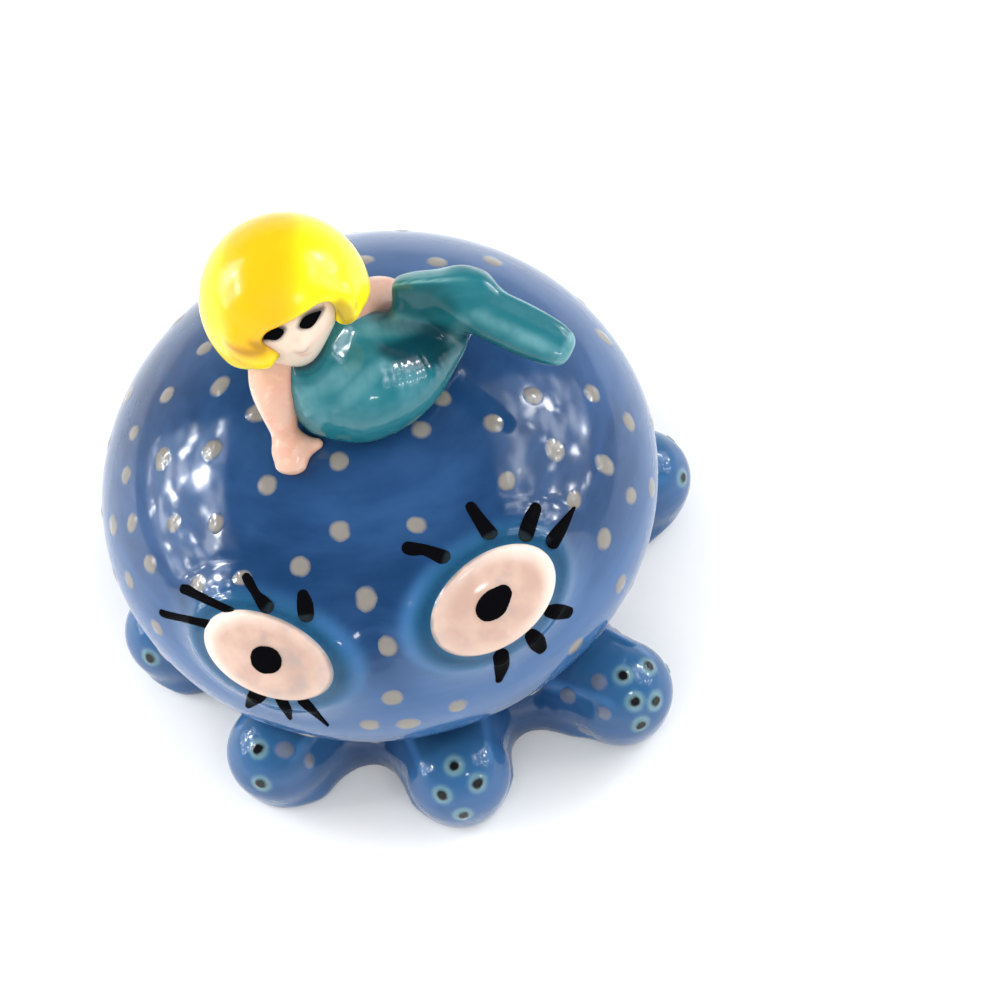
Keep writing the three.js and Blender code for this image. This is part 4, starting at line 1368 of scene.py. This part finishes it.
class FIGURINE_OT_polka_dots(bpy.types.Operator):
    """Scatters the raised grey dots over the head and tentacles"""

    bl_idname = "figurine.polka_dots"
    bl_label = "Polka Dots"

    def execute(self, context):
        settings = context.scene.figurine_octopus
        seen = on_skin(head_clay, DOT_PIXELS)
        places = np.vstack([seen, dots_behind(settings.dot_spacing / MM, settings.seed, seen)])
        leans = outward(head_clay, places)
        feet = on_skin(tentacle_clay, TENTACLE_DOT_PIXELS)
        places = np.vstack([places, feet])
        leans = np.vstack([leans, outward(tentacle_clay, feet)])
        spread = np.random.default_rng(settings.seed).uniform(0.86, 1.12, len(places))
        sizes = settings.dot_radius / MM * spread
        inputs = {
            "Rise": settings.dot_rise, "Dimple": 0.0, "Wobble": DOT_WOBBLE * MM,
            "Seed": float(settings.seed), "Glaze": dot_glaze(settings),
        }
        low = np.arange(len(places)) >= len(places) - len(feet)
        # The light value is painted sheen round each dot: as on the head, and a fixed share on the tentacles
        values = {
            "size": sizes * np.where(low, 0.85, 1.0) * MM, "cover": np.where(low, 0.5, 0.95),
            "light": np.where(low, 0.7, head_reflection(leans)),
        }
        skins = [(head_clay, len(places) - len(feet)), (tentacle_clay, len(feet))]
        piece = bumps_on("octopus_polka_dots", places, leans, values, settings.seed, inputs, skins)
        seat(piece, inputs["Glaze"], "grey_enamel")
        return {"FINISHED"}


def shoulder_highlights(points):
    """Painted highlights along both upper edges of each tentacle."""
    cover = np.zeros(len(points))
    for bearing, inset in TENTACLES.values():
        turn = math.radians(bearing - 90)
        along = points[:, 0] * math.cos(turn) + points[:, 1] * math.sin(turn) - HEAD_RADIUS + inset
        aside = np.abs(points[:, 1] * math.cos(turn) - points[:, 0] * math.sin(turn))
        line = np.exp(-np.square((aside - 5.0 + 0.12 * along) / 0.8)) * smooth_step(points[:, 2], 4.0, 8.0)
        cover = np.maximum(cover, line * smooth_step(along, -11.0, -7.0) * smooth_step(along, 5.0, 1.0))
    return cover


def sucker_places():
    """Places of the suckers on the tentacles: those of the picture, then a loose few on each tip behind."""
    places = list(on_skin(tentacle_clay, SUCKER_PIXELS))
    for name in TIPS_BEHIND:
        middle = TENTACLE_RINGS[name]["middle"][-1]
        bearing = TENTACLES[name][0] - 90
        for turn, lift in SUCKER_ROWS:
            a, b = math.radians(bearing + turn), math.radians(lift)
            ray = np.array([math.cos(a) * math.cos(b), math.sin(a) * math.cos(b), math.sin(b)])
            places.append(middle + TIP_RADIUS * ray)
    return settle(tentacle_clay, np.array(places), 2.0)


class FIGURINE_OT_tentacles(bpy.types.Operator):
    """Builds the skirt and the eight stubby tentacles as one glazed skin"""

    bl_idname = "figurine.tentacles"
    bl_label = "Tentacles"

    def execute(self, context):
        reach = HEAD_RADIUS + TIP_RADIUS + 3
        low, high = (-reach, -reach, -0.6), (reach, reach, 2 * TIP_RADIUS + 1)
        points, faces = skin_of(tentacle_clay, low, high, CELLS["tentacles"])
        points[:, 2] = np.maximum(points[:, 2], 0.0)
        near_head = 1 - smooth_step(head_clay(points), 0.3, 3.0)
        tips = np.array([rings["middle"][-1] for rings in TENTACLE_RINGS.values()])
        to_tip = np.linalg.norm(points[:, None, :2] - tips[None, :, :2], axis=2).min(axis=1)
        tip = 1 - smooth_step(to_tip, 4.0, 8.5)
        ridge_highlights = shoulder_highlights(points)
        # Painted sheen on the tips and painted highlights along the shoulders
        light = np.maximum(0.6 * (1 - smooth_step(to_tip, 6.0, 12.0)), 1.5 * ridge_highlights)
        away = np.linalg.norm(points[:, None] - sucker_places()[None], axis=2).min(axis=1)
        halo = 1 - smooth_step(away, 0.9, 2.1)
        # Painted shade under the head's edge
        painted_shade = 0.7 * near_head * (1 - ridge_highlights)
        marks = {"painted_shade": painted_shade, "teal": 0.5 * tip, "light": light, "halo": halo}
        piece = new_piece("tentacle_skin", points, faces, marks)
        glaze = bpy.data.materials["octopus_blue_glaze"]
        seat(piece, glaze, "blue_glaze", "tentacle_skirt", *TENTACLES)
        return {"FINISHED"}


class FIGURINE_OT_suckers(bpy.types.Operator):
    """Presses the suckers into the tips of the tentacles"""

    bl_idname = "figurine.suckers"
    bl_label = "Suckers"

    def execute(self, context):
        settings = context.scene.figurine_octopus
        places = sucker_places()
        leans = outward(tentacle_clay, places)
        spread = np.random.default_rng(settings.seed + 1).uniform(0.9, 1.1, len(places))
        inputs = {
            "Rise": SUCKER_RISE * MM, "Dimple": settings.sucker_dimple, "Wobble": SUCKER_WOBBLE * MM,
            "Seed": float(settings.seed + 1), "Glaze": sucker_glaze(settings),
        }
        values = {"size": settings.sucker_radius / MM * spread * MM}
        skins = [(tentacle_clay, len(places))]
        piece = bumps_on("tentacle_suckers", places, leans, values, settings.seed + 1, inputs, skins)
        seat(piece, inputs["Glaze"], "black_enamel")
        return {"FINISHED"}


def lobe_paint(points):
    """Painted shade on the front of the fin's back lobe, and painted highlight on its top and ridge."""
    lean = outward(tail_clay, points)
    front, top = lean @ BACK_FLUKE_RINGS["up"][5], -lean @ BACK_FLUKE_RINGS["side"][5]
    lobe = 1 - smooth_step(rolled(points, BACK_FLUKE_RINGS), 0.1, 0.8)
    ridge = np.exp(-np.square((front - top + 0.1) / 0.22)) * smooth_step(front, 0.2, 0.5)
    painted_highlight = np.maximum(ridge, 0.55 * smooth_step(top - front, 0.2, 0.7))
    return 0.5 * lobe * smooth_step(front - top, 0.1, 0.5), lobe * painted_highlight


def paddle_paint(points):
    """Painted shade on the facets of the fin's front lobe, and painted highlight on its rim and near half."""
    rings, mid = FRONT_FLUKE_RINGS, 10
    paddle = 1 - smooth_step(rolled(points, rings), 0.1, 0.8)
    from_middle = points - rings["middle"][mid]
    far = from_middle @ rings["side"][mid] / rings["across"][mid]
    out = from_middle @ unit(rings["middle"][-1] - rings["middle"][mid])
    facet = smooth_step(far, 0.12, 0.32) * smooth_step(far, 0.9, 0.72)
    near_edge = smooth_step(far, -0.72, -0.86)
    rim = np.maximum(np.exp(-np.square((far - 0.95) / 0.1)), smooth_step(out, 6.4, 7.6))
    near = np.exp(-np.square((far + 0.35) / 0.34)) * smooth_step(out, -8.0, -4.0)
    painted_highlight = np.maximum.reduce([0.8 * rim, 0.62 * near, 0.3 * facet])
    return paddle * np.maximum(0.2 * facet, 0.35 * near_edge), paddle * painted_highlight


class FIGURINE_OT_mermaid_tail(bpy.types.Operator):
    """Builds the mermaid's torso, tail and fin as one glazed skin"""

    bl_idname = "figurine.mermaid_tail"
    bl_label = "Mermaid Tail"

    def execute(self, context):
        box = rings_box(BODY_RINGS, FRONT_FLUKE_RINGS, BACK_FLUKE_RINGS)
        points, faces = skin_of(tail_clay, *box, CELLS["tail"])
        # Painted shade where the torso meets the octopus head and the neck, in neck folds, under the fin and
        # in the hollow
        touching = 1 - smooth_step(head_clay(points), -0.3, 0.9)
        neck = face_clay(points)
        folds = np.cos(2 * math.pi * neck / 1.3) * (1 - smooth_step(neck, 1.2, 3.6))
        collar = 1 - smooth_step(neck, 0.2, 1.4)
        fin = fin_clay(points)
        under_fin = (1 - smooth_step(fin, 1.5, 5.0)) * smooth_step(fin, 0.2, 1.2)
        hollow = brushed(tail_clay, points, TORSO_HOLLOWS, 1.2)
        lobe_front = 0.45 * brushed(tail_clay, points, LOBE_SHADES, 1.2)
        strokes = 0.45 * brushed(tail_clay, points, TORSO_BRUSHES_AND_SHEEN, 1.2)
        lobe_shade, lobe_highlight = lobe_paint(points)
        paddle_shade, paddle_highlight = paddle_paint(points)
        painted_shade = np.maximum.reduce([
            0.55 * touching, collar, 0.9 * under_fin, 0.45 * folds, hollow,
            lobe_front, lobe_shade, paddle_shade,
        ])
        # Paler brush strokes, and painted sheen and highlights on the upper back and the fin
        brush_and_sheen = np.maximum.reduce([strokes, lobe_highlight, paddle_highlight])
        marks = {"painted_shade": np.clip(painted_shade, 0.0, 1.0), "brush_and_sheen": brush_and_sheen}
        piece = new_piece("mermaid_tail_skin", points, faces, marks)
        nodes = ("mermaid_body", "mermaid_front_fluke", "mermaid_back_fluke")
        seat(piece, turquoise_glaze(context.scene.figurine_mermaid), "turquoise_glaze", *nodes)
        return {"FINISHED"}


class FIGURINE_OT_mermaid_arms(bpy.types.Operator):
    """Builds the two arms that prop the mermaid up"""

    bl_idname = "figurine.mermaid_arms"
    bl_label = "Mermaid Arms"

    def execute(self, context):
        colours = context.scene.figurine_mermaid
        glaze = arm_glaze(colours)
        arms = {
            "mermaid_front_arm": (front_arm_clay, rings_box(FRONT_ARM_RINGS, FRONT_THUMB_RINGS)),
            "mermaid_back_arm": (back_arm_clay, rings_box(BACK_ARM_RINGS)),
        }
        for node, (clay, box) in arms.items():
            points, faces = skin_of(clay, *box, CELLS["arms"])
            # Painted shade where the arm meets the head and tail, and over the whole far arm
            painted_shade = 1 - smooth_step(np.minimum(head_clay(points), tail_clay(points)), -0.2, 0.7)
            shade = 0.55 if node == "mermaid_back_arm" else 0.0
            # Painted highlight on the sides that face left, forward and down
            painted_highlight = smooth_step(outward(clay, points) @ unit((-1.0, -0.45, -0.3)), 0.72, 0.98)
            marks = {"painted_shade": np.maximum(0.7 * painted_shade, shade), "painted_highlight": painted_highlight}
            piece = new_piece(f"{node}_skin", points, faces, marks)
            seat(piece, glaze, "skin_glaze", node)
        return {"FINISHED"}


class FIGURINE_OT_mermaid_face(bpy.types.Operator):
    """Builds the mermaid's face with its nose and painted eyes"""

    bl_idname = "figurine.mermaid_face"
    bl_label = "Mermaid Face"

    def execute(self, context):
        colours = context.scene.figurine_mermaid
        points, faces = skin_of(face_clay, *box_round([FACE_MIDDLE], 12.0), CELLS["face"])
        # Painted shade where the face meets the hair and the torso
        painted_shade = 1 - smooth_step(np.minimum(hair_clay(points), tail_clay(points)), 0.0, 0.8)
        marks = {
            "painted_shade": 0.6 * painted_shade, "smudge_and_shade": brushed(face_clay, points, FACE_SMUDGES, 0.7),
            "mouth": brushed(face_clay, points, [MOUTH], 0.4),
        }
        piece = new_piece("mermaid_face_skin", points, faces, marks)
        seat(piece, face_glaze(colours), "face_glaze", "mermaid_head")
        paint_size = PAINT_DEPTHS["face_eyes"], CELLS["face_eyes"]
        points, faces, thin = strokes_on(face_clay, FACE_EYES, *paint_size)
        eyes = new_piece("mermaid_face_eyes", points, faces, {"thin": 0 * thin})
        seat(eyes, bpy.data.materials["lash_black_enamel"], "black_enamel")
        return {"FINISHED"}


class FIGURINE_OT_mermaid_hair(bpy.types.Operator):
    """Builds the bobbed yellow hair with its fringe"""

    bl_idname = "figurine.mermaid_hair"
    bl_label = "Mermaid Hair"

    def execute(self, context):
        points, faces = skin_of(hair_clay, *box_round([FACE_MIDDLE], 14.5), CELLS["hair"])
        local = in_head(points)
        across = (points - FACE_MIDDLE) @ CAMERA_RIGHT
        amber = smooth_step(across, 6.5, -2.0) * smooth_step(across, -12.0, -5.0)
        amber *= smooth_step(local[:, 2], -6.0, 3.0) * smooth_step(local[:, 1], 11.0, 2.0)
        # Painted shade where the hair meets the torso and the face, and under the locks
        painted_shade = 1 - smooth_step(np.minimum(tail_clay(points), face_clay(points)), -0.2, 0.6)
        painted_shade = np.maximum(painted_shade, 0.85 * brushed(hair_clay, points, HAIR_SHADES, 0.7))
        piece = new_piece("mermaid_hair_skin", points, faces, {"amber": amber, "painted_shade": painted_shade})
        seat(piece, hair_glaze(context.scene.figurine_mermaid), "yellow_glaze", "mermaid_hair")
        return {"FINISHED"}


def window_light(name, azimuth, elevation, size, power, dapple=None):
    """A window-like light that looks at the figurine, by azimuth from the front and elevation, in degrees.
    A dappled one is bright in patches, as behind leaves and blinds."""
    data = bpy.data.lights.new(name, "AREA")
    data.shape = "RECTANGLE"
    data.size, data.size_y = size
    data.energy = power
    if dapple is not None:
        data.use_nodes = True
        wire = Wire(data.node_tree)
        pane = wire.node("ShaderNodeNewGeometry", output="Parametric")
        split = wire.node("ShaderNodeSeparateXYZ", {}, {0: pane})
        fades = [1 - wire.soft(wire.maths("ABSOLUTE", split.out(axis) - 0.5), 0.37, 0.46) for axis in "XY"]
        patches = wire.soft(wire.noise(pane, 4.0, 3.0, (1.0, 1.5, 1.0), dapple), 0.48, 0.66)
        spots = wire.soft(wire.noise(pane, 6.0, 4.0, (1.0, 1.0, 1.0), dapple + 3.0), 0.58, 0.68)
        glow = wire.mix(patches, (0.24, 0.27, 0.32, 1.0), (1.3, 1.35, 1.45, 1.0))
        glow = wire.mix(spots, glow, (9.0, 9.0, 9.0, 1.0))
        glow = wire.mix(fades[0] * fades[1], (0.0, 0.0, 0.0, 1.0), glow)
        wire.tree.links.new(glow.socket, data.node_tree.nodes["Emission"].inputs["Color"])
    light = bpy.data.objects.new(name, data)
    a, e = math.radians(azimuth), math.radians(elevation)
    back = np.array([math.sin(a) * math.cos(e), -math.cos(a) * math.cos(e), math.sin(e)])
    side = unit(np.cross((0.0, 0.0, 1.0), back))
    turn = Matrix(np.column_stack([side, np.cross(back, side), back]).tolist()).to_4x4()
    light.matrix_world = Matrix.Translation((HEAD_MIDDLE * MM + back).tolist()) @ turn
    light.visible_camera = False
    bpy.context.scene.collection.objects.link(light)
    return light


def pale_floor(scene, settings):
    """Lays the floor."""
    mesh = bpy.data.meshes.new("floor")
    reach = FLOOR_REACH
    corners = [(-reach, -reach, 0.0), (reach, -reach, 0.0), (reach, reach, 0.0), (-reach, reach, 0.0)]
    mesh.from_pydata(corners, [], [(0, 1, 2, 3)])
    floor = bpy.data.objects.new("floor", mesh)
    scene.collection.objects.link(floor)
    material = bpy.data.materials.new("pale_floor")
    material.use_nodes = True
    shader = material.node_tree.nodes["Principled BSDF"]
    shader.inputs["Roughness"].default_value = 0.7
    wire = Wire(material.node_tree)
    place = wire.node("ShaderNodeTexCoord", output="Object")
    colour = wire.mix(0.3 * wire.noise(place, 30.0), tuple(settings.floor), paint("floor_cloud"))
    wire.tree.links.new(colour.socket, shader.inputs["Base Color"])
    mesh.materials.append(material)
    floor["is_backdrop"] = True


def dim_room(scene, settings):
    """Sets pale walls under a dim ceiling, with white below the horizon."""
    world = bpy.data.worlds.new("dim_room")
    world.use_nodes = True
    sky = world.node_tree.nodes["Background"]
    sky.inputs["Strength"].default_value = settings.room
    wire = Wire(world.node_tree)
    place = wire.node("ShaderNodeTexCoord", output="Generated")
    height = wire.node("ShaderNodeSeparateXYZ", {}, {0: place}).out("Z")
    glow = wire.mix(wire.soft(height, 0.1, 0.6), (1.0, 1.0, 1.0, 1.0), (0.17, 0.18, 0.2, 1.0))
    glow = wire.mix(wire.soft(height, -0.06, -0.02), (1.2, 1.2, 1.2, 1.0), glow)
    wire.tree.links.new(glow.socket, sky.inputs["Color"])
    scene.world = world


def all_lights(settings):
    """Sets two dappled windows, two soft lights that leave no glints, and a small lamp that does."""
    for name, (azimuth, elevation, size, dapple) in WINDOWS.items():
        window_light(name, azimuth, elevation, size, settings.window_strength, dapple)
    overhead = window_light("overhead", *OVERHEAD, settings.overhead_strength)
    overhead.location = (0.0, 0.0, OVERHEAD_HEIGHT)
    overhead.visible_glossy = False
    front = window_light("front", *FRONT, settings.front_strength)
    front.visible_glossy = False
    window_light("lamp", *LAMP, settings.lamp_strength)


def picture_camera(scene):
    """Sets the camera of the picture."""
    data = bpy.data.cameras.new("camera")
    data.lens, data.sensor_width, data.sensor_fit = CAMERA_LENS, CAMERA_SENSOR, "HORIZONTAL"
    data.clip_start, data.clip_end = 0.01, 20.0
    camera = bpy.data.objects.new("camera", data)
    turn = Matrix(np.column_stack([CAMERA_RIGHT, CAMERA_UP, -CAMERA_AHEAD]).tolist()).to_4x4()
    camera.matrix_world = Matrix.Translation((CAMERA_PLACE * MM).tolist()) @ turn
    scene.collection.objects.link(camera)
    scene.camera = camera


class FIGURINE_OT_stage(bpy.types.Operator):
    """Sets the pale floor, the soft lights and the camera"""

    bl_idname = "figurine.stage"
    bl_label = "Stage"

    def execute(self, context):
        scene = context.scene
        settings = scene.figurine_stage
        pale_floor(scene, settings)
        dim_room(scene, settings)
        all_lights(settings)
        picture_camera(scene)
        scene.view_settings.view_transform = "Standard"
        return {"FINISHED"}


OPERATORS = (
    FIGURINE_OT_octopus_head, FIGURINE_OT_octopus_eyes, FIGURINE_OT_lashes, FIGURINE_OT_tentacles,
    FIGURINE_OT_polka_dots, FIGURINE_OT_suckers, FIGURINE_OT_mermaid_tail, FIGURINE_OT_mermaid_arms,
    FIGURINE_OT_mermaid_face, FIGURINE_OT_mermaid_hair, FIGURINE_OT_stage,
)


SETTINGS = {
    "figurine_octopus": OctopusSettings, "figurine_mermaid": MermaidSettings, "figurine_stage": StageSettings,
}


class FIGURINE_PT_panel(bpy.types.Panel):
    """Sizes, colours and building steps of the figurine"""

    bl_idname = "FIGURINE_PT_panel"
    bl_label = "Figurine"
    bl_space_type = "VIEW_3D"
    bl_region_type = "UI"
    bl_category = "Figurine"

    def draw(self, context):
        for group in SETTINGS:
            settings = getattr(context.scene, group)
            box = self.layout.box()
            for name in settings.bl_rna.properties.keys():
                if name not in ("rna_type", "name"):
                    box.prop(settings, name)
        for operator in OPERATORS:
            self.layout.operator(operator.bl_idname)


def register():
    """Registers the classes and hangs the settings on the scene."""
    for name, group in SETTINGS.items():
        bpy.utils.register_class(group)
        setattr(bpy.types.Scene, name, PointerProperty(type=group))
    for operator in OPERATORS:
        bpy.utils.register_class(operator)
    bpy.utils.register_class(FIGURINE_PT_panel)


def unregister():
    """Takes the classes and the settings away."""
    bpy.utils.unregister_class(FIGURINE_PT_panel)
    for operator in reversed(OPERATORS):
        bpy.utils.unregister_class(operator)
    for name, group in SETTINGS.items():
        delattr(bpy.types.Scene, name)
        bpy.utils.unregister_class(group)


def main():
    """Builds the figurine and its stage."""
    register()
    bpy.ops.figurine.octopus_head()
    bpy.ops.figurine.octopus_eyes()
    bpy.ops.figurine.lashes()
    bpy.ops.figurine.tentacles()
    bpy.ops.figurine.polka_dots()
    bpy.ops.figurine.suckers()
    bpy.ops.figurine.mermaid_tail()
    bpy.ops.figurine.mermaid_arms()
    bpy.ops.figurine.mermaid_face()
    bpy.ops.figurine.mermaid_hair()
    bpy.ops.figurine.stage()
    boxes = {"cad": CAD_BOX, "visual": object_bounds()}
    {name: [list(corner) for corner in box] for name, box in boxes.items()}


if __name__ == "__main__":
    main()
